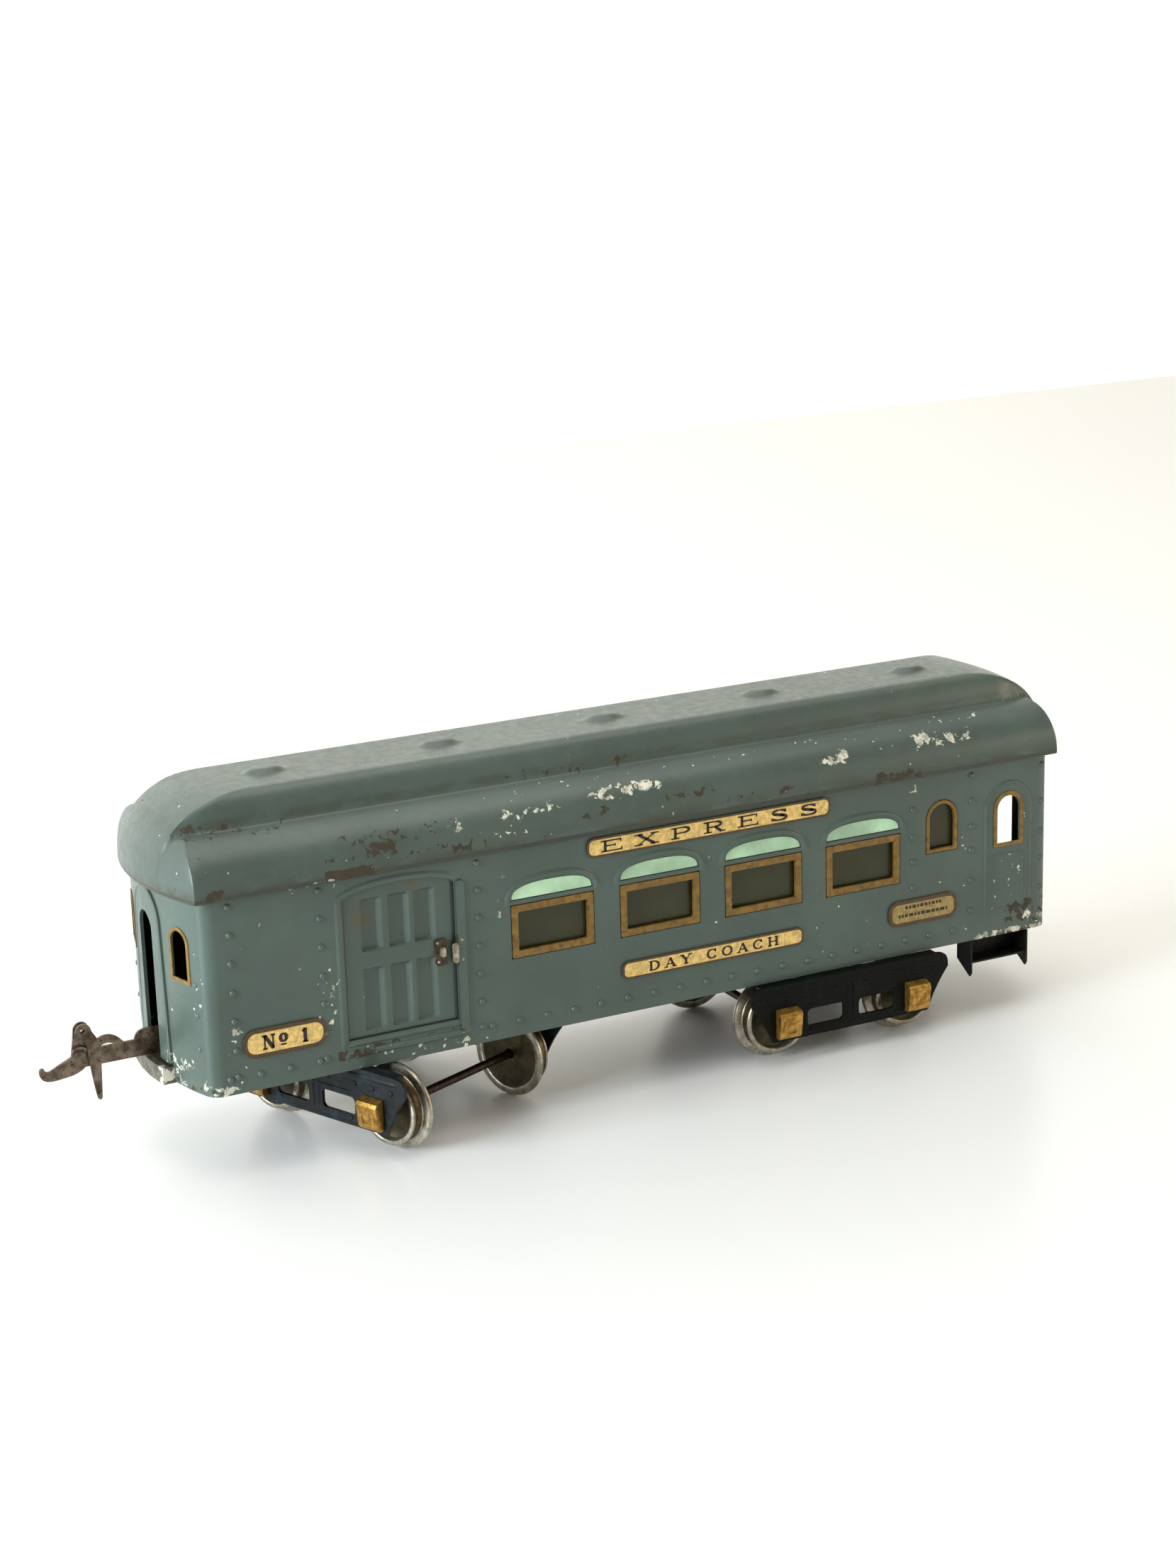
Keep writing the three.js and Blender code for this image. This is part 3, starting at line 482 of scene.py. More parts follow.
def roof_dirt_and_rim_shade(f, paint):
    """Painted shade: a dark band along the rolled rim. Patchy dirt above the rim, and a patchy darker band
    along the valley between the two curves of the roof.
    """
    grime = f.step(f.noise(5, 6, 0.65, stretch=(2.5, 1, 1)), 0.36, 0.6)
    # painted shade along the rolled rim
    paint = f.mix(f.all(f.step(f.z, 95.9, 95.3), 0.8), paint, SEAM_SHADE)
    paint = f.mix(f.all(f.step(f.z, 99.5, 95.2), grime, 0.85), paint, linear(60, 60, 44))
    # a patchy darker band along the valley between deck and crown
    return f.mix(f.all(f.band(f.z, 112.2, 115.2, 0.7), grime, 0.5), paint, linear(66, 68, 52))


def door_smears_and_seam_shade(f, paint):
    """Brown smears on the upper panels, and painted shade: dark bands in the seams along the left, right and
    bottom edges of the leaf.
    """
    left = f.all(f.band(f.x, -108, -100, 2.0), f.band(f.z, 77, 86, 2.5))
    right = f.all(f.band(f.x, -92, -85, 2.0), f.band(f.z, 82, 89, 2.0))
    smear = f.all(f.any(left, right), f.step(f.noise(6, 5), 0.34, 0.6))
    paint = f.mix(f.sum("MULTIPLY", smear, 0.7), paint, linear(88, 76, 44))
    # painted shade in the seams round the leaf
    seam_shade = f.any(f.step(f.x, -74.9, -74.3), f.step(f.x, -111.0, -111.5), f.step(f.z, 40.6, 40.1))
    return f.mix(f.sum("MULTIPLY", seam_shade, 0.8), paint, SEAM_SHADE)


def enamel(name, colour, dirt_and_shade, patches=(), chips=(), stains=()):
    """Worn enamel. Each region is (x from, x to, z from, z to, softness of its edge, strength)."""
    f = Finish(name, specular=0.5)
    f.shader.inputs["Coat Weight"].default_value = 0.1
    f.shader.inputs["Coat Roughness"].default_value = 0.25
    mottle = f.noise(3.2, 5, 0.62)
    paint = f.mix(f.step(f.noise(38, 3), 0.3, 0.7), tinted(colour, 0.94), tinted(colour, 1.05))
    faded = f.sum("MULTIPLY", f.step(mottle, 0.5, 0.75), 0.2)
    paint = f.mix(faded, paint, tinted(colour, 1.14))
    film = f.sum("MULTIPLY", f.step(f.noise(11, 6, 0.7, shift=(31, 7, 3)), 0.5, 0.78), 0.3)
    paint = f.mix(film, paint, linear(76, 80, 60))

    def spread(regions):
        masks = [f.all(f.band(f.x, x0, x1, soft), f.band(f.z, z0, z1, soft), strength)
                 for x0, x1, z0, z1, soft, strength in regions]
        return f.any(*masks) if masks else 0.0

    ragged = f.noise(3.4, 7, 0.66, shift=(5, 11, 2), distortion=0.5)
    patch_level = f.sum("ADD", spread(patches), ragged)
    chip_level = f.sum("ADD", spread(chips), f.noise(2.1, 4, 0.45, shift=(15, 1, 22)))
    chip = f.any(f.step(patch_level, 0.745, 0.755), f.step(chip_level, 0.752, 0.762))
    rust_noise = f.noise(3.0, 6, 0.62, shift=(17, 3, 29), distortion=0.6)
    rust = f.step(f.sum("ADD", spread(stains), rust_noise), 0.735, 0.75)
    specks = f.step(f.noise(0.9, 2, 0.5, shift=(3, 1, 8)), 0.715, 0.735)
    paint = f.mix(f.sum("MULTIPLY", specks, 0.6), paint, DARK_RUST)
    # dirt, and painted shade under the eave, along the roof rim and in the door seams
    paint = dirt_and_shade(f, paint)
    paint = f.mix(rust, paint, f.mix(f.noise(1.4, 4), BROWN_RUST, DARK_RUST))
    bared = f.step(f.noise(2.4, 5, 0.6, shift=(9, 9, 9)), 0.42, 0.6)
    paint = f.mix(chip, paint, f.mix(bared, CREAM_CHIP, GREY_CHIP))
    height = f.sum("MULTIPLY_ADD", f.noise(0.55, 3), 0.12, f.sum("MULTIPLY", f.noise(9, 3), 0.9))
    height = f.sum("SUBTRACT", height, f.sum("MULTIPLY", f.any(chip, rust), 0.5))
    rough = f.blend(f.step(mottle, 0.35, 0.7), 0.34, 0.46)
    rough = f.blend(f.any(chip, rust, specks), rough, 0.75)
    return f.finish(paint, rough, height, 0.07)


def metal(name, colour, wear, rough=(0.28, 0.5), metallic=0.9, spots=0.35, size=4.0, flaked=False):
    f = Finish(name, metallic=metallic)
    cloud = f.noise(size, 5, 0.6)
    scratches = f.noise(0.8, 3, 0.5)
    base = f.mix(f.step(cloud, 0.35, 0.68), linear(*colour), linear(*wear))
    scratched = f.sum("MULTIPLY", f.step(scratches, 0.42, 0.62), 0.35)
    base = f.mix(scratched, base, tinted(colour, 0.62))
    spot = f.sum("MULTIPLY", f.step(f.noise(1.3, 5, 0.6, shift=(7, 4, 1)), 0.58, 0.68), spots)
    base = f.mix(spot, base, DARK_RUST)
    if flaked:
        corner = f.all(f.step(f.y, -9, -12), f.step(f.x, -150, -154), 0.2)
        flake = f.step(f.sum("ADD", corner, f.noise(3.2, 6, 0.62, shift=(8, 1, 5))), 0.69, 0.71)
        base = f.mix(flake, base, CREAM_CHIP)
    height = f.sum("MULTIPLY_ADD", scratches, 0.5, f.noise(1.1, 4))
    return f.finish(base, f.blend(cloud, *rough), height, 0.03)


def paint_coat(name, colour, wear, rough=(0.35, 0.6), amount=0.6, size=5.0, metallic=0.0, bloom=None,
               specular=0.5):
    f = Finish(name, metallic=metallic, specular=specular)
    cloud = f.noise(size, 6, 0.62)
    worn = f.sum("MULTIPLY", f.step(f.noise(1.7, 6, 0.65, shift=(2, 9, 5)), 0.56, 0.66), amount)
    base = f.mix(f.step(cloud, 0.3, 0.7), linear(*colour), tinted(colour, 1.3))
    if bloom:
        base = f.mix(f.step(f.noise(7, 4, shift=(21, 2, 6)), 0.52, 0.62), base, linear(*bloom))
    base = f.mix(worn, base, linear(*wear))
    height = f.sum("MULTIPLY_ADD", f.noise(0.6, 3), 0.4, cloud)
    return f.finish(base, f.blend(cloud, *rough), height, 0.05)


body_enamel = enamel(
    "teal_enamel_body", (75, 91, 83), body_eave_shade,
    patches=[(126, 161, 29, 32.5, 1.5, 0.25), (148, 162, 30, 38, 3, 0.25), (-160, -148, 29, 34, 2.5, 0.24),
             (-166, -159, 29, 41, 3, 0.2), (-150.5, -146, 49, 53, 1.5, 0.26), (-119, -115, 55, 57, 1.5, 0.26),
             (-76, -68, 31.5, 34, 1, 0.2)],
    chips=[(-151, -146, 33, 52, 2, 0.11), (-122, -115, 46, 66, 3, 0.12), (-112, -60, 30, 36, 2, 0.11),
           (120, 126, 50, 74, 2, 0.1), (98, 108, 88, 93, 2, 0.1), (-60, -56, 60, 92, 2, 0.1),
           (-161, -157, 50, 80, 2, 0.12), (-140, -112, 92, 96, 2, 0.11), (134, 150, 36, 60, 3, 0.08)],
    stains=[(140, 163, 32, 42, 3, 0.24), (-116, -103, 33.5, 37, 1, 0.3), (130, 163, 29, 31, 1, 0.25),
            (-112, -74, 36.2, 37.6, 0.5, 0.2), (-166, -154, 29, 33, 2, 0.2)])
roof_enamel = enamel(
    "teal_enamel_roof", (76, 89, 82), roof_dirt_and_rim_shade,
    patches=[(-76, -66, 102.5, 106, 2, 0.24), (-57, -34, 102.5, 107, 2.5, 0.235),
             (-24, 4, 104.5, 108.5, 2, 0.26), (64, 76, 103, 108, 2, 0.25),
             (100, 127, 103.5, 108.5, 2.5, 0.24), (-124, -114, 94.2, 95.4, 0.6, 0.26)],
    chips=[(-66, -46, 98, 104, 3, 0.1), (-50, 140, 109, 111, 2, 0.1), (-158, -140, 95, 97, 2, 0.1)],
    stains=[(-118, -101, 94, 97.8, 0.8, 0.42), (-122, -106, 99.5, 101.5, 1.5, 0.25),
            (-104, -92, 99, 104.5, 2, 0.3), (-90, -60, 96, 101, 3, 0.22), (-112, -70, 103, 107, 2, 0.2),
            (84, 104, 94, 98, 1.5, 0.26), (-157, -148, 94, 98, 2, 0.3), (-50, 0, 112, 115, 2, 0.2),
            (-34, -16, 100, 103, 2, 0.24), (2, 24, 100.5, 104, 2, 0.22), (20, 60, 96, 100, 2, 0.18),
            (-160, -120, 110, 115, 2, 0.18)])
door_enamel = enamel("teal_enamel_door", (74, 90, 81), door_smears_and_seam_shade)
gold_paint = paint_coat("brown_gold_paint", (112, 86, 40), (80, 62, 34), amount=0.75, size=3, metallic=0.3)
mint_paint = paint_coat("mint_paint", (158, 190, 158), (150, 182, 152), (0.3, 0.45), 0.15, 30)
plate_cream = paint_coat("aged_plate_cream", (196, 166, 100), (150, 118, 64), (0.42, 0.6), 0.3, 1.4, 0.1)
plate_gold = paint_coat("darkened_plate_gold", (140, 120, 70), (104, 84, 46), (0.42, 0.6), 0.6, 1.6, 0.15)
plate_border = paint_coat("olive_plate_border", (66, 50, 26), (108, 82, 42), amount=0.6, size=2)
plate_ink = paint_coat("brown_ink", (34, 18, 14), (58, 38, 26), amount=0.2, size=2)
# painted shade: a dark line for the shadow along the step at the edge of the end doorway plates
painted_groove_shade = paint_coat("painted_groove_shade", (38, 44, 37), (62, 68, 58), amount=0.5, size=3)
underframe_black = paint_coat("black_underframe", (16, 16, 14), (74, 68, 54), amount=0.35, size=6,
                              specular=0.25)
# painted light and shade: the two truck enamels are copies of one black, the front one lighter and bluer
# where it is lit, the rear one darker
lit_truck_black = paint_coat("front_truck_enamel_lit_copy", (14, 18, 20), (58, 60, 52), amount=0.4, size=4,
                              bloom=(24, 40, 50), specular=0.25)
truck_black = paint_coat("rear_truck_enamel_shaded_copy", (9, 10, 8), (34, 32, 24), amount=0.3, size=5,
                         bloom=(14, 22, 18), specular=0.12)
# painted shade: the inner faces of the shell and roof, the door guides and the window backing strip are near
# black, for the shade inside the body
shade_dark_inside = paint_coat("painted_shade_inside", (34, 32, 26), (52, 46, 36), amount=0.4, size=8)
latch_steel = metal("worn_latch_steel", (188, 180, 158), (128, 112, 84), (0.35, 0.55), 0.5, 0.5, 2.6)
latch_rust = metal("rusty_latch_plate", (84, 70, 48), (54, 42, 28), (0.45, 0.65), 0.4, 0.8, 1.8)
journal_brass = metal("journal_brass", (214, 168, 84), (150, 108, 48), (0.3, 0.46), spots=0.4, size=2.4)
wheel_nickel = metal("dull_nickel", (196, 190, 174), (146, 136, 116), (0.24, 0.4), spots=0.4, size=4)
wheel_tread = metal("brown_tread", (104, 88, 60), (70, 58, 40), (0.3, 0.5), spots=0.6, size=3)
wheel_disc = metal("olive_wheel_disc", (92, 82, 54), (62, 54, 36), (0.4, 0.55), 0.6, 0.6, 4)
axle_steel = metal("browned_axle_steel", (70, 56, 46), (46, 36, 30), (0.35, 0.55), size=3)
coupler_steel = metal("browned_coupler_steel", (136, 120, 104), (76, 60, 48), (0.3, 0.5), 0.85, 0.8, 4)
platform_tin = metal("worn_platform_tin", (122, 116, 102), (88, 80, 66), (0.35, 0.55), 0.6, 0.9, 4,
                     flaked=True)
rivet_steel = metal("rivet_steel", (120, 110, 98), (78, 66, 56), (0.3, 0.5), spots=0.5, size=2)


def celluloid():
    f = Finish("olive_celluloid", specular=0.3)
    f.shader.inputs["Transmission Weight"].default_value = 0.35
    f.shader.inputs["IOR"].default_value = 1.5
    haze = f.noise(9, 5, 0.6)
    colour = f.mix(f.step(haze, 0.3, 0.7), linear(60, 62, 30), linear(72, 72, 38))
    dust = f.step(f.noise(0.8, 3, shift=(1, 2, 3)), 0.66, 0.74)
    colour = f.mix(f.sum("MULTIPLY", dust, 0.4), colour, linear(104, 100, 76))
    return f.finish(colour, f.blend(haze, 0.16, 0.3), haze, 0.06)


pane_celluloid = celluloid()


def keep(node, material, bevel=0.0):
    """A CAD node that stays, with its own finish and softly rounded edges."""
    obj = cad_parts[node]
    obj.data.materials.clear()
    obj.data.materials.append(material)
    if bevel:
        soften(obj, bevel)
    else:
        obj.modifiers.new("flat faces", "WEIGHTED_NORMAL").keep_sharp = True


for side in ("near", "far"):
    keep(f"glazing_strip_{side}", pane_celluloid)
    keep(f"side_step_{side}", underframe_black, 0.15)
keep("front_truck_bolster", lit_truck_black, 0.2)
keep("rear_truck_bolster", truck_black, 0.2)
keep("floor_pan", platform_tin, 0.15)

# ---- roof -------------------------------------------------------------------------------

EAVE = ROOF_LOW.z + 1.2
ROOF_HALF = ROOF_HIGH.y
DECK_RISE, DECK_RUN, DECK_END_RUN, DECK_FULLNESS = 16.5, 17.0, 9.0, 2.1
CROWN_HEIGHT, CROWN_RUN, CROWN_FULLNESS = 27.0, 34.0, 2.3
CROWN_HALF, CROWN_END_HALF = 22.0, 18.0
VENT_PITCH, VENT_LENGTH, VENT_WIDTH, VENT_HEIGHT = 61.0, 15.0, 9.0, 1.5
HIP_SOFTNESS = 0.12
ROOF_OVERHANG = ROOF_HIGH.x - PANEL_HIGH.x


def quarter_curve(inset, run, fullness):
    t = np.clip(1 - inset / run, 0, 1)
    return (1 - t ** fullness) ** (1 / fullness)


def smooth_step(value, low, high):
    t = np.clip((value - low) / (high - low), 0, 1)
    return t * t * (3 - 2 * t)


def roof_end(y):
    return END_CENTRE + np.sqrt(END_RADIUS ** 2 - y ** 2) + ROOF_OVERHANG


def soft_minimum(a, b):
    """The lower of two heights: a crisp hip at the eave that fades into a round shoulder higher up."""
    lower = np.minimum(a, b)
    softness = 0.01 + HIP_SOFTNESS * smooth_step(lower, 0, 0.8)
    meeting = np.exp(-np.abs(a - b) / softness)
    return np.maximum(0, lower - softness * np.log1p(meeting) + softness * math.log(2) * lower * meeting)


def roof_height(x, y):
    side_inset = ROOF_HALF - np.abs(y)
    end_inset = roof_end(y) - np.abs(x)
    deck = DECK_RISE * soft_minimum(quarter_curve(side_inset, DECK_RUN, DECK_FULLNESS),
                                    quarter_curve(end_inset, DECK_END_RUN, DECK_FULLNESS))
    along = quarter_curve(end_inset, CROWN_RUN, CROWN_FULLNESS)
    narrowing = smooth_step(-end_inset, -20, 0)
    half = CROWN_HALF + (CROWN_END_HALF - CROWN_HALF) * narrowing
    across = quarter_curve(half + 1 - np.abs(y), 9, 2.6)
    crown = CROWN_HEIGHT * np.minimum(along, across)
    sharpness = 1.1
    valley = np.exp(-np.abs(deck - crown) / sharpness) * smooth_step(crown, 0, 8)
    joined = np.maximum(deck, crown) + 0.35 * sharpness * valley
    nearest = np.clip(np.round(x / VENT_PITCH), -2, 2) * VENT_PITCH
    reach = np.hypot((x - nearest) / (VENT_LENGTH / 2), y / (VENT_WIDTH / 2))
    vent = VENT_HEIGHT * (1 - smooth_step(reach, 0.5, 1.05))
    top = np.minimum(joined, CROWN_HEIGHT)
    return EAVE + top + vent


def stations(count, bias):
    t = np.linspace(-1, 1, count + 1)
    return np.sign(t) * (1 - (1 - np.abs(t)) ** bias)


def roof_parts():
    across = stations(150, 1.5) * ROOF_HALF
    along = stations(300, 2.0)
    rows, columns = len(along), len(across)
    y = np.tile(across, (rows, 1))
    x = along[:, None] * roof_end(y)
    z = roof_height(x, y)
    outer = np.stack([x, y, z], -1)
    rim_low = ROOF_LOW.z
    edge = [(0, c) for c in range(columns)] + [(r, columns - 1) for r in range(1, rows)]
    edge += [(rows - 1, c) for c in range(columns - 2, -1, -1)] + [(r, 0) for r in range(rows - 2, 0, -1)]
    points = outer.reshape(-1, 3).tolist()
    faces = [(r * columns + c, (r + 1) * columns + c, (r + 1) * columns + c + 1, r * columns + c + 1)
             for r in range(rows - 1) for c in range(columns - 1)]
    previous = [r * columns + c for r, c in edge]
    roll = [(0.0, rim_low + 0.35), (0.12, rim_low + 0.1), (0.35, rim_low), (0.6, rim_low + 0.1),
            (0.75, rim_low + 0.35), (0.8, EAVE)]
    for inset, height in roll:
        ring = []
        for r, c in edge:
            px, py, _ = outer[r, c]
            ring.append(len(points))
            points.append([px * (1 - inset / ROOF_HIGH.x), py * (1 - inset / ROOF_HALF), height])
        faces.extend((previous[i], previous[(i + 1) % len(edge)], ring[(i + 1) % len(edge)], ring[i])
                     for i in range(len(edge)))
        previous = ring
    start = len(points)
    inner_x = x * (1 - SHEET / ROOF_HIGH.x)
    inner_y = y * (1 - SHEET / ROOF_HALF)
    inner = np.stack([inner_x, inner_y, np.maximum(z - SHEET * 1.1, EAVE)], -1)
    inside_points = inner.reshape(-1, 3).tolist()
    inside_faces = [(r * columns + c, r * columns + c + 1, (r + 1) * columns + c + 1, (r + 1) * columns + c)
                    for r in range(rows - 1) for c in range(columns - 1)]
    return [(points, faces, 0), (inside_points, inside_faces, 1)]


piece("roof", roof_parts(), [roof_enamel, shade_dark_inside], "coach_body", "roof_enamel", ["roof_shell"],
      crease=50)

# ---- body shell -------------------------------------------------------------------------

WINDOW_MIDDLES = [-38.75 + 39.8 * i for i in range(4)]
WINDOW_BOTTOM, WINDOW_TOP, WINDOW_WIDTH, WINDOW_BORDER = 56.5, 74.9, 30.3, 2.6
LUNETTE_HALF, LUNETTE_BOTTOM, LUNETTE_TOP = 14.8, 76.3, 81.9
ARCH_WINDOW, VESTIBULE_WINDOW = 113, 141.1   # the middles of the two arched windows


def lunette_outline(middle, margin, steps=36):
    half = LUNETTE_HALF + margin
    bottom = LUNETTE_BOTTOM - margin
    rise = LUNETTE_TOP + margin - bottom
    crown = []
    for i in range(steps + 1):
        a = math.pi * i / steps
        c, s = math.cos(a), math.sin(a)
        crown.append((middle + half * math.copysign(abs(c) ** 0.72, c), bottom + rise * abs(s) ** 0.8))
    return [(middle - half, bottom), (middle + half, bottom)] + crown[1:-1]


def lunette_rim(middle):
    outline = lunette_outline(middle, 1.6)
    return densified([outline[1], *outline[2:], outline[0]], 1.2)


SEAM = 0.15
END_DOOR_HALF, END_DOOR_TOP = 5.7, 83.5
NOTCH_HALF, NOTCH_TOP = 14.7, 35.6
END_WINDOW = 22.5
END_WINDOW_RUN = end_run(END_WINDOW)


def shell_outline(steps=16):
    """One half of the body laid flat, from the middle of one end to the middle of the other."""
    notch, door = end_run(NOTCH_HALF), end_run(END_DOOR_HALF)
    shoulder = END_DOOR_TOP - END_DOOR_HALF
    right = [(notch, BODY_BOTTOM), (notch, NOTCH_TOP), (door, NOTCH_TOP)]
    for i in range(steps + 1):
        a = math.pi / 2 * i / steps
        across, up = END_DOOR_HALF * math.cos(a), END_DOOR_HALF * math.sin(a)
        right.append((end_run(max(SEAM, across)), shoulder + up))
    right.append((end_run(SEAM), PANEL_TOP))
    return right + [(-u, v) for u, v in reversed(right)]


def curved_stations():
    ends = end_run(SEAM) - CORNER_X
    places = [CORNER_X + CORNER_RUN * i / 9 for i in range(10)]
    places += [CORNER_X + CORNER_RUN + (ends - CORNER_RUN) * i / 12 for i in range(1, 12)]
    return places + [-place for place in places]


def window_holes():
    half = WINDOW_WIDTH / 2
    holes = [rectangle(m - half, m + half, WINDOW_BOTTOM, WINDOW_TOP) for m in WINDOW_MIDDLES]
    holes += [lunette_outline(m, 0) for m in WINDOW_MIDDLES]
    holes += [arched(ARCH_WINDOW, 13.3, 65.1, 84.2), arched(VESTIBULE_WINDOW, 9.4, 64, 81.3)]
    holes += [shallow_arch(-112, -73.4, 39.8, 86, 90)]
    return holes + [arched(side * END_WINDOW_RUN, 8.4, 66.5, 82.5) for side in (-1, 1)]


shell = wrapped(slab(shell_outline(), -SHEET, 0, flat, window_holes()), curved_stations(), near_side)
both_sides("shell", shell, [body_enamel, shade_dark_inside], "coach_body", "body_enamel", ["side_panel_near"],
           crease=28, bevel=0.15)
inside = upright(-HALF_WIDTH + SHEET)
guides = []
for edge, lip in ((38.2 - 0.3, 1), (92 + 0.3, -1)):
    fold, tip = edge - lip * SHEET, edge + lip * 1.3
    for stop, high in ((edge, 0.1), (tip, -1.35)):
        strip = rectangle(-146.4, -69.8, min(stop, fold), max(stop, fold))
        guides.append(slab(strip, -1.8, high, inside))
both_sides("door_guides", guides, shade_dark_inside, "coach_body", "body_enamel")

# ---- pressed details of the side panels -------------------------------------------------

column_heights = [91.4, 82.2, 72.9, 63.4, 54.0, 44.3, 35.6]
rivet_places = [(x, z) for x in (-149.5, -119.6, -65.3) for z in column_heights]
rivet_places += [(101, z) for z in (82.2, 72.4, 63.4, 53.9)]
rivet_places += [(125.4, z) for z in (91.0, 81.8, 72.3, 63.7, 52.5, 41.5)]
rivet_places += [(155.6, z) for z in (90.5, 77, 66, 56, 45, 36)]
bottom_row = [x for x in range(-152, 126, 10) if not -116 < x < -66]
rivet_places += [(x, 35.2) for x in bottom_row]
both_sides("rivet_heads", [dome(x, z, 1.15, 0.9, near_side) for x, z in rivet_places],
           body_enamel, "coach_body", "body_enamel", crease=60)

window_rims = [bead(lunette_rim(m), 2.4, 0.75, near_side, flat=0.15) for m in WINDOW_MIDDLES]
both_sides("window_rims", window_rims, body_enamel, "coach_body", "body_enamel", crease=60)

surround = shallow_arch(-113.6, -71.9, 36.4, 86.6, 91.2)
rim = [(-113.6, 37)] + list(reversed(surround[2:]))[1:] + [(-71.9, 87)]
sill, ledge = [(-114.5, 35.2), (-69.8, 35.2)], [(-112.5, 38.5), (-69.8, 38.5)]
door_surround = [bead(densified(rim, 1.5), 2.4, 0.45, near_side, flat=0.25),
                 bead(densified(sill, 1.5), 2.4, 1.0, near_side, flat=0.3),
                 bead(densified(ledge, 1.5), 1.7, 0.7, near_side, flat=0.2)]
both_sides("door_surround", door_surround, body_enamel, "coach_body", "body_enamel", crease=60)
jamb = [slab(rounded(-71.6, 61.5, 2.8, 50.6, 1.2), -0.1, 0.85, near_side)]
both_sides("door_jamb", jamb, body_enamel, "coach_body", "body_enamel", bevel=0.35)

door_edge = arched(141.2, 19.2, 34.5, 86.2, 28)[1:] + [(131.6, 34.5)]
door_panel = [(134.8, 40), (134.8, 60), (147.6, 60), (147.6, 40), (134.8, 40)]
vestibule = [bead(densified(door_edge, 1.5), 1.5, 0.5, near_side, flat=0.2),
             bead(densified(door_panel, 1.5), 1.0, 0.32, near_side)]
both_sides("vestibule_door_outline", vestibule, body_enamel, "coach_body", "body_enamel", crease=60)

# ---- pressed details of the ends --------------------------------------------------------


def tapered_doorway(inner, top, bottom, foot, steps=24):
    """An outline rising from the foot to an arched top and down again."""
    shoulder = top - inner
    side = [(foot - (foot - inner) * t / 6, bottom + (shoulder - bottom) * t / 6) for t in range(6)]
    crown = arc(0, shoulder, inner, 0, math.pi, steps)
    return [(-u, v) for u, v in side] + crown[::-1] + side[::-1]


FOOT_HALF, ARCH_HALF, ARCH_TOP = 13.4, 11.4, 92.4


def plate_outline(margin):
    return tapered_doorway(ARCH_HALF + margin, ARCH_TOP + margin, NOTCH_TOP, FOOT_HALF + margin)


for end, sign in (("front", -1), ("rear", 1)):
    on_end = bowed_end(sign)
    doorway = tapered_doorway(END_DOOR_HALF, END_DOOR_TOP, NOTCH_TOP, END_DOOR_HALF)
    plate = slab(plate_outline(0) + doorway[::-1], 0, 0.55, flat)
    plate_points = wrapped(plate, [i * 1.5 for i in range(-9, 10)], on_end)
    ridge = bead(densified(plate_outline(-0.9), 1.2), 1.6, 0.3, lambda u, v, h: on_end(u, v, h + 0.55),
                 flat=0.2)
    # painted shadow: a dark line just outside the edge of the doorway plate
    shade_line = bead(densified(plate_outline(0.3), 1.2), 0.9, 0.06, on_end, index=2)
    paints = [body_enamel, body_enamel, painted_groove_shade]
    piece(f"end_doorway_plate_{end}", [*plate_points, ridge, shade_line], paints, "coach_body", "body_enamel",
          [f"end_panel_{end}"], crease=40)
    heads = [dome(side * 29.5, z, 0.95, 0.5, on_end) for side in (-1, 1) for z in (45, 56, 66)]
    piece(f"end_rivet_heads_{end}", heads, body_enamel, "coach_body", "body_enamel", crease=60)
    gold = [slab(arched(middle, 10.4, 65.4, 83.6), -0.1, 0.35, on_end, [arched(middle, 8.1, 66.7, 82.4)])
            for middle in (-END_WINDOW, END_WINDOW)]
    piece(f"end_window_frames_{end}", gold, gold_paint, "coach_body", "window_gold", bevel=0.2)

# ---- windows ----------------------------------------------------------------------------

def window_frame(middle):
    gap = 0.3
    left, right = middle - WINDOW_WIDTH / 2 + gap, middle + WINDOW_WIDTH / 2 - gap
    bottom, top = WINDOW_BOTTOM + gap, WINDOW_TOP - gap
    b = WINDOW_BORDER - gap
    x, z, wide, tall = (left + right) / 2, (bottom + top) / 2, right - left, top - bottom
    outer = rounded(x, z, wide, tall, 0.5, 3)
    inner = rounded(x, z, wide - 2 * b, tall - 2 * b, 0.5, 3)
    return slab(outer, -1.4, 0.2, near_side, [inner])


ARCH_PANE = arched(ARCH_WINDOW, 10.3, 66.6, 82.7)
strip = slab(rectangle(-57.9, 123.6, 53.5, 87.2), -1.5, -0.9, near_side,
             [rounded(m, 65.7, WINDOW_WIDTH - 5.2, 13.2, 0.5, 3) for m in WINDOW_MIDDLES]
             + [ARCH_PANE], 2)
frames = [window_frame(m) for m in WINDOW_MIDDLES]
frames.append(slab(arched(ARCH_WINDOW, 12.7, 65.4, 83.9), -1.4, 0.25, near_side, [ARCH_PANE]))
frames.append(slab(arched(VESTIBULE_WINDOW, 12.4, 63.0, 82.9), -0.2, 0.4, near_side,
                   [arched(VESTIBULE_WINDOW, 9.6, 64.2, 81.4)]))
lunettes = [slab(lunette_outline(m, -0.3), -1.4, -0.25, near_side, (), 1) for m in WINDOW_MIDDLES]
both_sides("window_frames", frames + lunettes + [strip], [gold_paint, mint_paint, shade_dark_inside], "coach_body",
           "window_gold", ["window_insert_near"], bevel=0.22)

# ---- baggage doors ----------------------------------------------------------------------

DOOR_LOW, DOOR_HIGH = node_box("baggage_door_near")
DOOR_LEFT, DOOR_RIGHT = DOOR_LOW.x, DOOR_HIGH.x
DOOR_BOTTOM, DOOR_TOP, DOOR_SHOULDER = DOOR_LOW.z, DOOR_HIGH.z, 88.4
DOOR_FACE = DOOR_LOW.y
FLUTE_LEFTS = [-105.2, -95.8, -86.9]
FLUTE_WIDTH = 7.0
FLUTE_ROWS = [(42.0, 62.2), (68.6, 85.4)]
FLUTE_DEPTH = 1.5


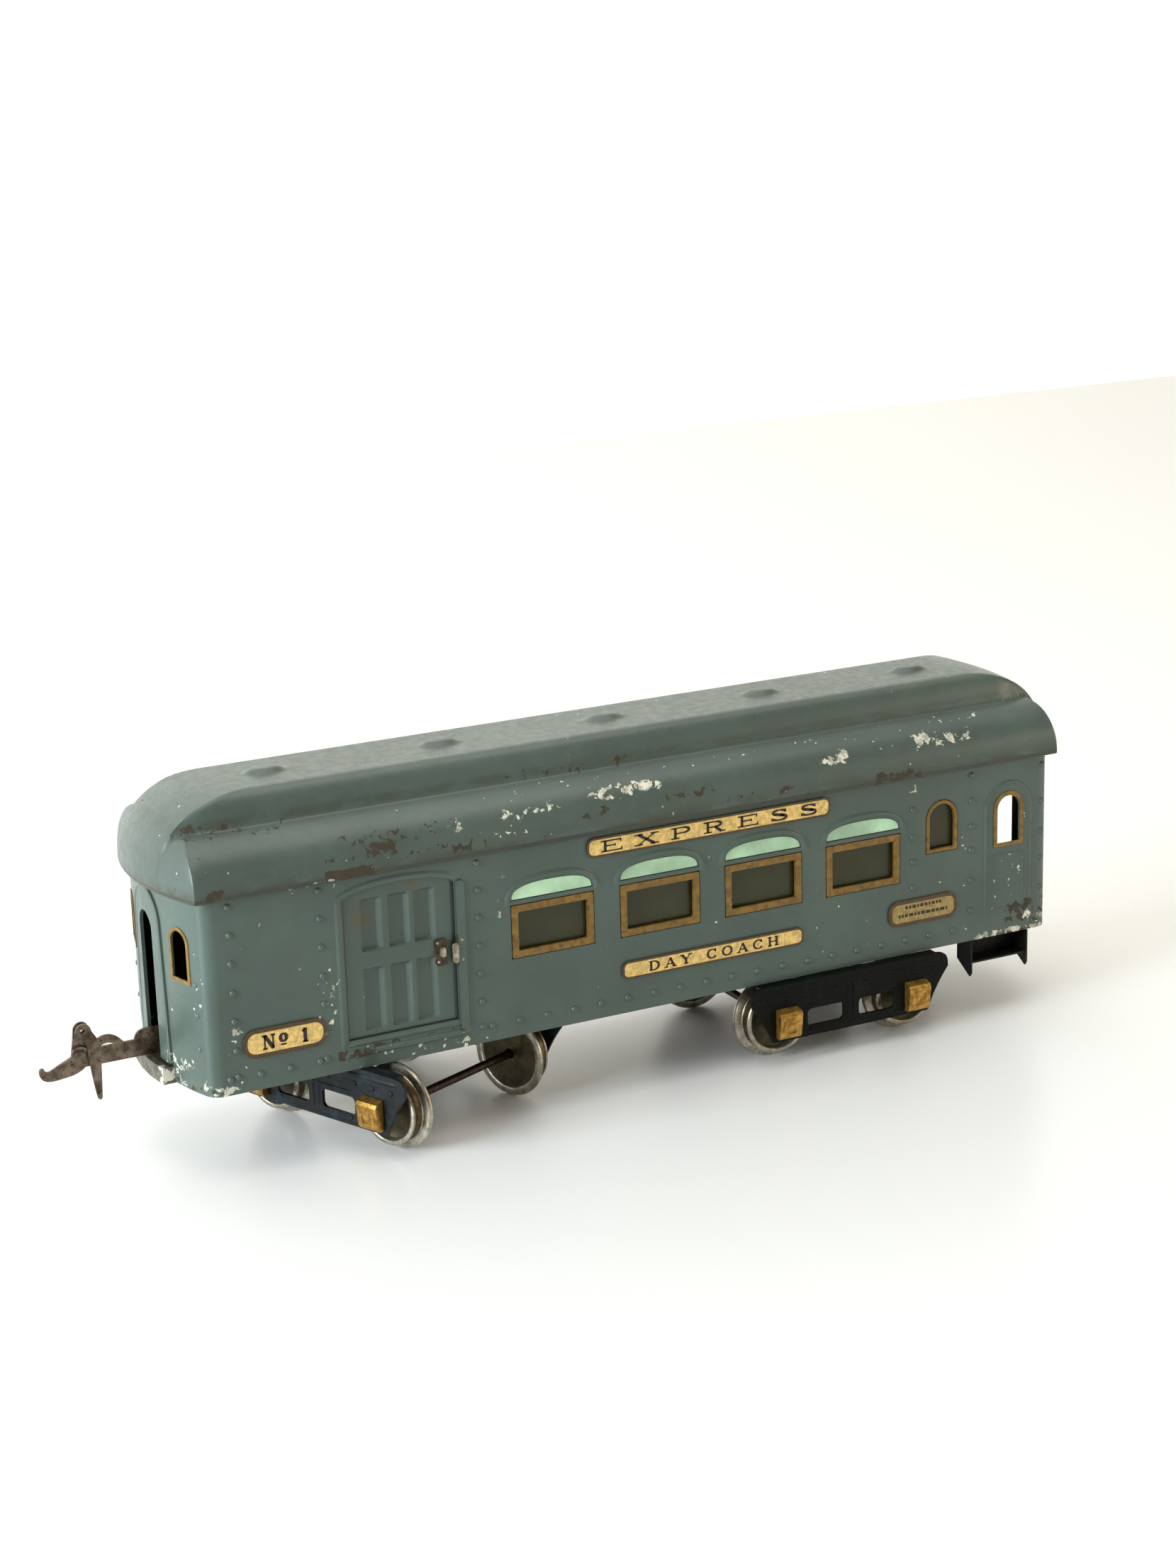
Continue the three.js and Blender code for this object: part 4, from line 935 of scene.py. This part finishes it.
def door_parts():
    x = np.linspace(DOOR_LEFT, DOOR_RIGHT, 141)
    t = np.linspace(0, 1, 161)
    half = (DOOR_RIGHT - DOOR_LEFT) / 2
    crown = DOOR_SHOULDER + (DOOR_TOP - DOOR_SHOULDER) * np.sqrt(
        np.clip(1 - ((x - DOOR_LEFT - half) / half) ** 2, 0, 1))
    grid_x, grid_t = np.meshgrid(x, t)
    grid_z = DOOR_BOTTOM + grid_t * (np.tile(crown, (len(t), 1)) - DOOR_BOTTOM)
    depth = np.zeros_like(grid_x)
    for left in FLUTE_LEFTS:
        sloping_side = np.clip((left + FLUTE_WIDTH - grid_x) / 1.6, 0, 1)
        across = smooth_step(grid_x, left - 0.35, left + 0.35) * sloping_side
        for bottom, top in FLUTE_ROWS:
            above = smooth_step(grid_z, bottom - 0.5, bottom + 0.5)
            depth += across * above * smooth_step(grid_z, top + 0.5, top - 0.5)
    front = np.stack([grid_x, DOOR_FACE + FLUTE_DEPTH * depth, grid_z], -1).reshape(-1, 3)
    back = np.stack([grid_x, DOOR_FACE + SHEET + FLUTE_DEPTH * depth, grid_z], -1).reshape(-1, 3)
    rows, columns = grid_x.shape
    count = rows * columns
    points = np.vstack([front, back]).tolist()
    faces = []
    for r in range(rows - 1):
        for c in range(columns - 1):
            a = r * columns + c
            faces.append((a, a + 1, a + columns + 1, a + columns))
            faces.append((count + a, count + a + columns, count + a + columns + 1, count + a + 1))
    for c in range(columns - 1):
        last = (rows - 1) * columns + c
        faces.append((c, count + c, count + c + 1, c + 1))
        faces.append((last, last + 1, count + last + 1, count + last))
    for r in range(rows - 1):
        a, b = r * columns, (r + 1) * columns
        faces.append((a, b, count + b, count + a))
        faces.append((a + columns - 1, count + a + columns - 1, count + b + columns - 1, b + columns - 1))
    return [(points, faces)]


both_sides("door_leaf", door_parts(), door_enamel, "baggage_door_leaf_near", "door_enamel",
           ["baggage_door_near"])


def wavy_plate(left, right, bottom, top, lobes):
    """Outline of a small clip with rounded lobes along both edges."""
    shown = []
    steps = 40
    for edge, out in ((right, 1), (left, -1)):
        for i in range(steps + 1):
            t = i / steps if out > 0 else 1 - i / steps
            z = bottom + (top - bottom) * t
            ripple = abs(math.sin(lobes * math.pi * t)) ** 0.7
            shown.append((edge - out * 0.8 * (1 - ripple), z))
    return shown


def catch(node, clip, button, heads, radius):
    """A clip with a raised button and two rivets, standing on the inner face of a CAD node."""
    face = upright(node_box(node)[1].y)
    raised, low, high = button
    return [slab(wavy_plate(*clip, 3), 0, 0.45, face, (), 1), slab(rounded(*raised, 0.9), low, high, face),
            *[dome(x, z, radius, 0.9, face) for x, z in heads]]


handle = catch("door_handle_near", (-80.8, -76.4, 59.0, 68.0), ((-78.3, 63.7, 1.9, 3.2), 0.3, 1.3),
               [(-79.8, 66.8), (-79.6, 60.4)], 0.6)
both_sides("door_catch", handle, [latch_steel, latch_rust], "baggage_door_leaf_near", "latch_steel",
           ["door_handle_near"], bevel=0.2)
keeper = catch("door_keeper_near", (-73.9, -70.3, 58.3, 68.7), ((-74.1, 62.8, 1.9, 6.6), 0.05, 0.95),
               [(-71.6, 66.8), (-71.6, 60.2)], 0.65)
both_sides("door_catch_keeper", keeper, [latch_steel, latch_rust], "coach_body", "latch_steel",
           ["door_keeper_near"], bevel=0.2)

# ---- trucks -----------------------------------------------------------------------------

TRUCK_TURN = {"front": math.radians(-66.6), "rear": 0.0}
TRUCK_MIDDLE = {"front": -81.5, "rear": 73.3}
HALF_BASE = 26.2
AXLE_HEIGHT = 15.1
FRAME_IN, FRAME_OUT, FRAME_HALF, FRAME_TOP, FRAME_BOTTOM = 37.5, 38.7, 40.2, 29.6, 9.2
FRAME_CORNER = 4.5
WHEEL_IN, WHEEL_OUT = 26.4, 33.2
FLANGE_RADIUS, TREAD_RADIUS = 14.6, 11.7
JOURNAL_HEIGHT = AXLE_HEIGHT + 1


def on_truck(end, parts):
    return [moved(part, x=TRUCK_MIDDLE[end], turn=TRUCK_TURN[end]) for part in parts]


def turned_half(parts):
    return [moved(part, turn=math.pi) for part in parts]


def frame_outline():
    half, top, bottom = FRAME_HALF, FRAME_TOP, FRAME_BOTTOM
    corner, foot = FRAME_CORNER, half - 8.6
    right = curve((foot, bottom), (half - 5.5, bottom + 8), (half, top - 5.5)) + curve(
        (half, top - corner), (half, top), (half - corner, top))
    left = [(-u, v) for u, v in reversed(right)]
    return [(foot, bottom), *right, *left, (-foot, bottom)]


def frame_parts():
    face = upright(-FRAME_IN)
    windows = [rounded(side * 10.4, 15.9, 14.6, 6.2, 1.6) for side in (-1, 1)]
    bores = [circle(side * HALF_BASE, AXLE_HEIGHT, 1.8, 24) for side in (-1, 1)]
    parts = [slab(frame_outline(), 0, FRAME_OUT - FRAME_IN, face, windows + bores)]
    fold = FRAME_HALF - FRAME_CORNER
    parts.append(slab(rectangle(-fold, fold, -FRAME_IN - 0.2, -FRAME_IN + 3.4), -1.2, 0, level(FRAME_TOP)))
    outer = upright(-FRAME_OUT)
    ribs = [[(-FRAME_HALF + 4, 27.3), (FRAME_HALF - 4, 27.3)], [(-26, 11.0), (26, 11.0)],
            [(-1.2, 12.2), (-1.2, 25.4)], [(1.2, 12.2), (1.2, 25.4)], [(-18, 20.6), (18, 20.6)]]
    parts += [bead(densified(rib, 1.5), 1.6, 0.35, outer, flat=0.2) for rib in ribs]
    parts += [dome(u, 24.2, 0.95, 0.55, outer) for u in (-34, -26, -18, -6, 6, 18, 26, 34)]
    parts += [dome(u, 11.6, 0.85, 0.5, outer) for u in (-16, 16)]
    return parts


def journal_parts(x):
    height = 10.4
    low, high = JOURNAL_HEIGHT - height / 2, JOURNAL_HEIGHT + height / 2
    lid_back, lid_front = FRAME_OUT + 0.3, FRAME_OUT + 0.3 + 3.55
    side = [(-lid_back, low), (-lid_back, high), (-lid_front + 0.7, high - 0.9), (-lid_front, high - 2.0),
            (-lid_front + 0.95, low + 0.9), (-lid_front + 1.6, low)]
    body = slab(side, -4.35, 4.35, lambda u, v, h: (x + h, u, v))
    lean = math.atan2(0.95, height - 2.9)

    def face(u, v, h):
        depth = lid_front - (high - 2.0 - v) * math.tan(lean) + h
        return (x + u, -depth, v)

    middle = JOURNAL_HEIGHT - 0.9
    panel = [slab(rounded(0, middle, 6.0, 6.0, 1.5), -0.2, 0.14, face, [rounded(0, middle, 4.6, 4.6, 1.0)]),
             slab(rounded(0, middle, 2.2, 2.2, 0.7), -0.2, 0.14, face)]
    return [body, *panel]


def wheel_parts():
    """The far wheel of an axle, its flange towards the truck's middle."""
    wide, tread = FLANGE_RADIUS, TREAD_RADIUS + 0.4
    disc = [(1.8, WHEEL_IN + 0.6), (wide - 3.0, WHEEL_IN + 0.6)]
    flange = [(wide - 3.0, WHEEL_IN + 0.6), (wide - 2.6, WHEEL_IN + 0.12), (wide - 2.2, WHEEL_IN),
              (wide - 0.55, WHEEL_IN), (wide - 0.15, WHEEL_IN + 0.18), (wide, WHEEL_IN + 0.55),
              (wide - 0.08, WHEEL_IN + 1.2), (wide - 0.4, WHEEL_IN + 1.75), (tread - 0.1, WHEEL_IN + 2.1),
              (tread - 0.35, WHEEL_IN + 2.45)]
    run = [(tread - 0.35, WHEEL_IN + 2.45), (tread - 0.45, WHEEL_IN + 4.0), (tread - 0.35, WHEEL_OUT - 1.4),
           (tread - 0.1, WHEEL_OUT - 1.0)]
    rim = [(tread - 0.1, WHEEL_OUT - 1.0), (tread, WHEEL_OUT - 0.5), (tread - 0.2, WHEEL_OUT - 0.12),
           (tread - 0.6, WHEEL_OUT), (tread - 1.3, WHEEL_OUT), (tread - 1.6, WHEEL_OUT - 0.2),
           (tread - 2.2, WHEEL_OUT - 2)]
    face = [(tread - 2.2, WHEEL_OUT - 2), (8.0, WHEEL_OUT - 2.25), (3.6, WHEEL_OUT - 2),
            (3.3, WHEEL_OUT - 1.8), (3.1, WHEEL_OUT - 0.6), (2.8, WHEEL_OUT - 0.4), (1.8, WHEEL_OUT - 0.4),
            (1.8, WHEEL_IN + 0.6)]
    return [lathe(profile, 96, paint) for profile, paint in
            ((disc, 2), (flange, 0), (run, 1), (rim, 0), (face, 2))]


for end in ("front", "rear"):
    body = f"{end}_truck"
    # the front truck takes the lighter, lit copy of the truck black
    frame_paint = lit_truck_black if end == "front" else truck_black
    for side, parts in (("near", frame_parts()), ("far", turned_half(frame_parts()))):
        piece(f"{end}_frame_{side}", on_truck(end, parts), frame_paint, body, "truck_black",
              [f"{end}_truck_frame_{side}"], bevel=0.22)
    for axle, x in (("leading", -HALF_BASE), ("trailing", HALF_BASE)):
        spin_body = f"{end}_wheelset_{axle}"
        for side, parts in (("near", journal_parts(x)), ("far", turned_half(journal_parts(-x)))):
            piece(f"{end}_journal_{axle}_{side}", on_truck(end, parts), journal_brass, body, "journal_brass",
                  [f"{end}_journal_box_{axle}_{side}"], bevel=0.3)
        for side, parts in (("near", turned_half(wheel_parts())), ("far", wheel_parts())):
            wheel = [moved(part, x=x, z=AXLE_HEIGHT) for part in parts]
            piece(f"{end}_tyre_{axle}_{side}", on_truck(end, wheel), [wheel_nickel, wheel_tread, wheel_disc],
                  spin_body, "wheel_nickel", [f"{end}_wheel_{axle}_{side}"], crease=32)
        reach = FRAME_OUT - 0.3
        half_bar = [(1.42, WHEEL_IN - 0.2), (1.5, WHEEL_OUT - 1), (1.5, reach - 0.25), (1.3, reach),
                    (0.01, reach)]
        bar = lathe([(radius, -y) for radius, y in reversed(half_bar)] + half_bar, 40)
        piece(f"{end}_axle_bar_{axle}", on_truck(end, [moved(bar, x=x, z=AXLE_HEIGHT)]), axle_steel,
              spin_body, "axle_steel", [f"{end}_axle_{axle}"])
    low, high = (corner.z for corner in node_box(f"{end}_king_pin"))
    pin = [(0.01, low), (2.6, low), (3.5, low + 0.35), (3.8, low + 1.2), (2, low + 1.2), (2, high - 1.2),
           (3.8, high - 1.2), (3.5, high - 0.4), (2.4, high), (0.01, high)]
    piece(f"{end}_pivot_pin", [moved(upright_axis(lathe(pin, 40)), x=TRUCK_MIDDLE[end])], rivet_steel,
          "coach_body", "rivet_steel", [f"{end}_king_pin"])

# ---- coupler ----------------------------------------------------------------------------

PIVOT_X, PIVOT_Z = -189.4, 39.4
HOOK_TIP = node_box("drawbar")[0].x
BAR_BASE = 35.3
DRAWBAR_PIVOT = -148


def drawbar_parts():
    b = BAR_BASE
    outline = [(-152, b), (-188, b)] + bends(
        (0, b), (-188, 0), ((-190, -1.7), (-193, -2.2), 6), ((-196, -2.6), (-198.5, -2.75), 5),
        ((HOOK_TIP, -2.9), (HOOK_TIP, 1.0), 8), ((-202.7, 2.5), (-201.5, 2.0), 5),
        ((-201.0, 0.1), (-199.2, 0.8), 6))
    outline += [(-196.5, b + 2.1), (-193.4, b + 3.6)]
    outline += arc(PIVOT_X, PIVOT_Z, 2.9, math.pi, 0.22 * math.pi, 16)
    outline += curve(outline[-1], (-184.5, b + 5.8), (-180, b + 5.8), 5) + [(-171.5, b + 5.8)]
    outline += bends((0, b), (-171.5, 5.8), ((-171, 8.6), (-168, 9), 6)) + [(-161, b + 9)]
    outline += bends((0, b), (-161, 9), ((-159, 8), (-158, 5.8), 5)) + [(-152, b + 5.8)]
    hole = circle(PIVOT_X, PIVOT_Z, 1.2, 20)
    blade = slab(outline, -0.5, 0.5, upright(0), [hole])
    tongue = slab(rounded(-150.5, 0, 13, 9, 4), 0, 1, level(b), [circle(DRAWBAR_PIVOT, 0, 1.8, 20)])
    tab = slab(rounded(-166.5, b + 6.6, 5.5, 1.5, 0.7, 4), 0.42, 0.72, upright(0))
    return [blade, tongue, tab]


piece("coupler_bar", drawbar_parts(), coupler_steel, "drawbar_arm", "coupler_steel", ["drawbar"], bevel=0.18)


def rivet(shank, head, rise, low, high):
    """A pin along y with a low head at each end."""
    side = [(0.01, 0), (head * 0.6, 0), (head * 0.92, rise * 0.4), (head, rise), (shank, rise)]
    profile = [(radius, low + inset) for radius, inset in side]
    return lathe(profile + [(radius, high - inset) for radius, inset in reversed(side)], 36)


low, high = node_box("latch_rivet")
piece("latch_pivot_rivet", [moved(rivet(0.9, 1.8, 0.5, low.y, high.y), x=PIVOT_X, z=PIVOT_Z)],
      rivet_steel, "drawbar_arm", "rivet_steel", ["latch_rivet"])
low, high = node_box("drawbar_rivet")
piece("drawbar_pivot_rivet", [moved(upright_axis(rivet(1.5, 2.8, 1.0, low.z, high.z)), x=DRAWBAR_PIVOT)],
      rivet_steel, "coach_body", "rivet_steel", ["drawbar_rivet"])


def latch_parts():
    x, z = PIVOT_X, PIVOT_Z
    at = (x, z)
    inner, outer = 0.8, 1.6
    cheek = arc(x, z, 2.6, math.pi, 1.75 * math.pi, 16)
    cheek += curve(cheek[-1], (x + 4.6, z + 0.2), (x + 6.2, z + 1.6), 5)
    cheek += bends(at, (6.2, 1.6), ((6.6, 3.2), (5.4, 5.4), 5)) + [(x + 3.9, z + 7.6)]
    cheek += arc(x + 1.2, z + 8, 2.6, 0, math.pi, 18)
    cheek += bends(at, (-1.4, 8), ((-1.9, 4), (-2.6, 0), 5))[:-1]
    eye = circle(x + 1, z + 8.1, 0.85, 20)
    far = slab(cheek, -outer, -inner, upright(0), [eye, circle(x, z, 1.2, 20)])
    pointer = bends(at, (1.2, 5.4), ((2.3, 3), (2.3, 0.6), 6), ((2.2, -2), (2.7, -4), 5),
                    ((3.2, -9), (4.3, -15), 6), ((5, -16.2), (5.8, -15), 5), ((6.1, -9), (6.3, -4), 5),
                    ((6.8, 1), (6.2, 4), 5), ((5.2, 5.6), (3.8, 8), 5))
    pointer += arc(x + 1.2, z + 8, 2.6, 0, math.pi, 18)[1:]
    pointer += bends(at, (-1.4, 8), ((-0.6, 6.4), (1.2, 5.4), 5))[:-1]
    near = slab(pointer, inner, outer, upright(0), [eye])
    tail = [(x + 4.4, z + 4.2)] + bends(at, (4.4, 4.2), ((10.8, 8.8), (15.9, -0.6), 14))
    tail += [(x + 14.2, z - 1.3)] + bends(at, (14.2, -1.3), ((10, 5.2), (5.2, 1.6), 12))
    bridge = slab(rectangle(x + 2.8, x + 6.2, z + 2.15, z + 3.05), -outer + 0.1, outer - 0.1, upright(0))
    return [far, near, slab(tail, inner + 0.03, outer - 0.05, upright(0)), bridge]


piece("coupler_latch", latch_parts(), coupler_steel, "latch", "coupler_steel", ["latch_lever"], bevel=0.16)

# ---- nameplates -------------------------------------------------------------------------

THICK, THIN = 0.27, 0.13


def stroke(x0, z0, x1, z1, weight):
    return [((x0, z0), weight), ((x1, z1), weight)]


def thick(*ends):
    return stroke(*ends, THICK)


def thin(*ends):
    return stroke(*ends, THIN)


def bowl(x, z, width, height, start, stop, steps=16):
    """A curve heaviest where it runs upright."""
    shown = []
    for i in range(steps + 1):
        a = start + (stop - start) * i / steps
        weight = THIN + (THICK - THIN) * abs(math.cos(a))
        shown.append(((x + width * math.cos(a), z + height * math.sin(a)), weight))
    return shown


def foot(x, z, half=0.17):
    return thin(x - half, z, x + half, z)


QUARTER = math.pi / 2
GLYPHS = {
    "E": (0.95, [thick(0.22, 0, 0.22, 1), thin(0.05, 0.96, 0.84, 0.96), thin(0.22, 0.52, 0.62, 0.52),
                 thin(0.05, 0.04, 0.88, 0.04), thin(0.82, 1, 0.82, 0.74), thin(0.6, 0.64, 0.6, 0.4),
                 thin(0.86, 0, 0.86, 0.28)]),
    "X": (1.0, [thick(0.16, 0.98, 0.8, 0.02), thin(0.82, 0.98, 0.16, 0.02), foot(0.17, 0.96),
                foot(0.8, 0.96), foot(0.17, 0.04), foot(0.8, 0.04)]),
    "P": (0.9, [thick(0.22, 0, 0.22, 1), foot(0.22, 0.04), thin(0.05, 0.96, 0.5, 0.96),
                bowl(0.5, 0.72, 0.27, 0.24, QUARTER, -QUARTER), thin(0.22, 0.48, 0.5, 0.48)]),
    "R": (0.98, [thick(0.22, 0, 0.22, 1), foot(0.22, 0.04), thin(0.05, 0.96, 0.5, 0.96),
                 bowl(0.5, 0.73, 0.25, 0.23, QUARTER, -QUARTER), thin(0.22, 0.5, 0.5, 0.5),
                 thick(0.5, 0.5, 0.76, 0.02), foot(0.82, 0.04, 0.12)]),
    "S": (0.82, [bowl(0.4, 0.74, 0.26, 0.22, 0.35, math.pi * 1.32),
                 bowl(0.4, 0.27, 0.29, 0.23, 2.1 - math.pi * 0.2, -math.pi + 0.35),
                 thin(0.66, 1, 0.66, 0.72), thin(0.1, 0, 0.1, 0.3), thick(0.22, 0.6, 0.6, 0.42)]),
    "D": (1.0, [thick(0.22, 0, 0.22, 1), thin(0.05, 0.96, 0.46, 0.96), thin(0.05, 0.04, 0.46, 0.04),
                bowl(0.46, 0.5, 0.4, 0.46, QUARTER, -QUARTER)]),
    "A": (1.0, [thin(0.14, 0.02, 0.5, 0.98), thick(0.48, 0.98, 0.84, 0.02), thin(0.27, 0.33, 0.7, 0.33),
                foot(0.14, 0.04), foot(0.84, 0.04)]),
    "Y": (0.98, [thick(0.14, 0.98, 0.49, 0.48), thin(0.86, 0.98, 0.49, 0.48),
                 thick(0.49, 0.5, 0.49, 0.02), foot(0.14, 0.96), foot(0.86, 0.96), foot(0.49, 0.04, 0.2)]),
    "C": (0.95, [bowl(0.5, 0.5, 0.38, 0.46, 0.6, math.pi * 2 - 0.6), thin(0.8, 1, 0.8, 0.68)]),
    "O": (1.0, [bowl(0.5, 0.5, 0.38, 0.46, 0, math.pi * 2, 30)]),
    "H": (1.05, [thick(0.22, 0, 0.22, 1), thick(0.82, 0, 0.82, 1), thin(0.22, 0.5, 0.82, 0.5),
                 foot(0.22, 0.04), foot(0.82, 0.04), foot(0.22, 0.96), foot(0.82, 0.96)]),
    "N": (1.05, [thin(0.2, 0, 0.2, 1), thick(0.2, 0.98, 0.82, 0.02), thin(0.82, 0, 0.82, 1),
                 foot(0.2, 0.04), foot(0.18, 0.96), foot(0.82, 0.96)]),
    "o": (0.7, [bowl(0.34, 0.62, 0.22, 0.26, 0, math.pi * 2, 24), thin(0.12, 0.14, 0.56, 0.14)]),
    "1": (0.6, [thick(0.32, 0, 0.32, 1), thin(0.1, 0.76, 0.3, 0.96), foot(0.32, 0.04, 0.22)]),
    " ": (0.55, []),
}


def lettering(text, x, z, height, stretch, spacing, surface, lift):
    """Flat strokes laid on a surface, centred on (x, z)."""
    total = sum(GLYPHS[c][0] for c in text) * stretch * height + spacing * (len(text) - 1)
    cursor = x - total / 2
    parts = []
    for character in text:
        advance, strokes = GLYPHS[character]
        for marks in strokes:
            places = [(cursor + p[0] * stretch * height, z + (p[1] - 0.5) * height) for p, _ in marks]
            points = []
            for i, (u, v) in enumerate(places):
                a, b = places[max(0, i - 1)], places[min(len(places) - 1, i + 1)]
                du, dv = b[0] - a[0], b[1] - a[1]
                size = math.hypot(du, dv) or 1
                half = marks[i][1] * height / 2
                points.append(surface(u - dv / size * half, v + du / size * half, lift))
                points.append(surface(u + dv / size * half, v - du / size * half, lift))
            faces = [(2 * i, 2 * i + 1, 2 * i + 3, 2 * i + 2) for i in range(len(places) - 1)]
            parts.append((points, faces, 2))
        cursor += advance * stretch * height + spacing
    return parts


def plate_parts(x, z, width, height, radius, edge):
    lows = upright(-HALF_WIDTH - 0.3)
    face = slab(rounded(x, z, width - 0.2, height - 0.2, radius - 0.1), 0, 0.34, lows, (), 0)
    border = slab(rounded(x, z, width, height, radius), 0, 0.4, lows,
                  [rounded(x, z, width - 2 * edge, height - 2 * edge, radius - edge)], 1)
    return [face, border], lows


def ornament(x, z, lows):
    """Generic engraved bars in place of a maker's lettering."""
    bars = []
    for row, (half, offset) in enumerate(((7.5, 2.0), (10.2, -0.9))):
        cursor = -half
        while cursor < half:
            run = random.uniform(0.7, 1.9)
            bar = rectangle(x + cursor, x + min(cursor + run, half), z + offset - 0.55, z + offset + 0.55)
            bars.append(slab(bar, 0.3, 0.375, lows, (), 2))
            cursor += run + 0.5
    return bars


# middle x and z, width, height, corner radius and border width; text, its height, stretch and spacing
PLATES = {
    "title_plate": ((20.6, 89.4, 93, 6.7, 2.6, 0.75), "EXPRESS", 3.8, 2.5, 3.8),
    "class_plate": ((21, 45, 70, 6.2, 2.4, 0.7), "DAY COACH", 3.3, 1.35, 1.6),
    "number_plate": ((-133.4, 45.5, 28, 9.4, 4.2, 1.3), "No 1", 4.7, 0.95, 0.9),
    "maker_plate": ((105, 45.4, 28.3, 9.3, 3.6, 1.3), None, 0, 0, 0),
}
for side, mirror in (("near", False), ("far", True)):
    for name, (shape, text, size, stretch, spacing) in PLATES.items():
        parts, lows = plate_parts(*shape)
        middle_x, middle_z = shape[:2]
        if text:
            sign = -1 if mirror else 1
            parts += lettering(text, 0, middle_z, size, stretch, spacing,
                               lambda u, v, h: lows(middle_x + sign * u, v, h), 0.37)
        else:
            parts += ornament(middle_x, middle_z, lows)
        if mirror:
            parts = mirrored(parts)
        face_paint = plate_cream if text else plate_gold
        piece(f"{name}_{side}_enamelled", parts, [face_paint, plate_border, plate_ink], "coach_body",
              "plate_brass", [f"{name}_{side}"], crease=30)

# ---- stage ------------------------------------------------------------------------------


def stage_plane(name, points, material):
    mesh = bpy.data.meshes.new(name)
    mesh.from_pydata(points, [], [(0, 1, 2, 3)])
    mesh.materials.append(material)
    obj = bpy.data.objects.new(name, mesh)
    bpy.context.scene.collection.objects.link(obj)


def plain(name, colour, roughness, glow=0.0):
    material = bpy.data.materials.new(name)
    material.use_nodes = True
    shader = material.node_tree.nodes["Principled BSDF"]
    shader.inputs["Base Color"].default_value = colour
    shader.inputs["Roughness"].default_value = roughness
    shader.inputs["Emission Color"].default_value = colour
    shader.inputs["Emission Strength"].default_value = glow
    return material


HALF_STAGE, WALL_Y, WALL_TOP = 4, 1.25, 3   # metres
floor_paint = plain("pale_floor", (0.86, 0.86, 0.86, 1), 0.3)
wall_paint = plain("pale_backdrop", (0.9, 0.88, 0.82, 1), 0.9, 0.6)
floor_corners = rectangle(-HALF_STAGE, HALF_STAGE, -HALF_STAGE, HALF_STAGE)
wall_corners = rectangle(-HALF_STAGE, HALF_STAGE, 0, WALL_TOP)
stage_plane("floor", [(x, y, 0) for x, y in floor_corners], floor_paint)
stage_plane("backdrop", [(x, WALL_Y, z) for x, z in wall_corners], wall_paint)

world = bpy.data.worlds.new("soft room")
world.use_nodes = True
world.node_tree.nodes["Background"].inputs["Color"].default_value = (1, 0.97, 0.9, 1)
world.node_tree.nodes["Background"].inputs["Strength"].default_value = 0.24
bpy.context.scene.world = world


def area_light(name, place, target, size, power, colour=(1, 1, 1)):
    data = bpy.data.lights.new(name, "AREA")
    data.shape = "RECTANGLE"
    data.size, data.size_y = size
    data.energy = power
    data.color = colour
    light = bpy.data.objects.new(name, data)
    light.location = place
    light.rotation_euler = (Vector(target) - Vector(place)).to_track_quat("-Z", "Y").to_euler()
    bpy.context.scene.collection.objects.link(light)


area_light("window_light", (-1.58, -0.2, 0.58), (0, 0, 0.05), (0.9, 0.8), 39, (0.84, 0.94, 1))
area_light("warm_fill", (1.5, -1.0, 0.5), (0.05, 0, 0.06), (1.0, 0.8), 8, (1, 0.9, 0.68))
area_light("ceiling_light", (0.1, -0.1, 1.6), (0, 0, 0), (1.6, 1.2), 13, (1, 0.97, 0.9))

# ---- camera -----------------------------------------------------------------------------

azimuth, elevation, roll = math.radians(-26.67), math.radians(15.85), math.radians(-1.75)
level_part = math.cos(elevation)
back = Vector((math.sin(azimuth) * level_part, -math.cos(azimuth) * level_part, math.sin(elevation)))
right = Vector((math.cos(azimuth), math.sin(azimuth), 0))
up = back.cross(right)
rolled_right = math.cos(roll) * right + math.sin(roll) * up
rolled_up = -math.sin(roll) * right + math.cos(roll) * up
axes = Matrix((rolled_right, rolled_up, back)).transposed().to_4x4()
camera_data = bpy.data.cameras.new("camera")
camera_data.sensor_width = 36
camera_data.sensor_fit = "AUTO"
camera_data.lens = 63.84
camera_data.clip_start = 0.05
camera_data.clip_end = 20
camera = bpy.data.objects.new("camera", camera_data)
place = (Vector((-413.2, -808.9, 357.1)) + ORIGIN) * MM
camera.matrix_world = Matrix.Translation(place) @ axes
bpy.context.scene.collection.objects.link(camera)
bpy.context.scene.camera = camera
bpy.context.scene.view_settings.view_transform = "Standard"
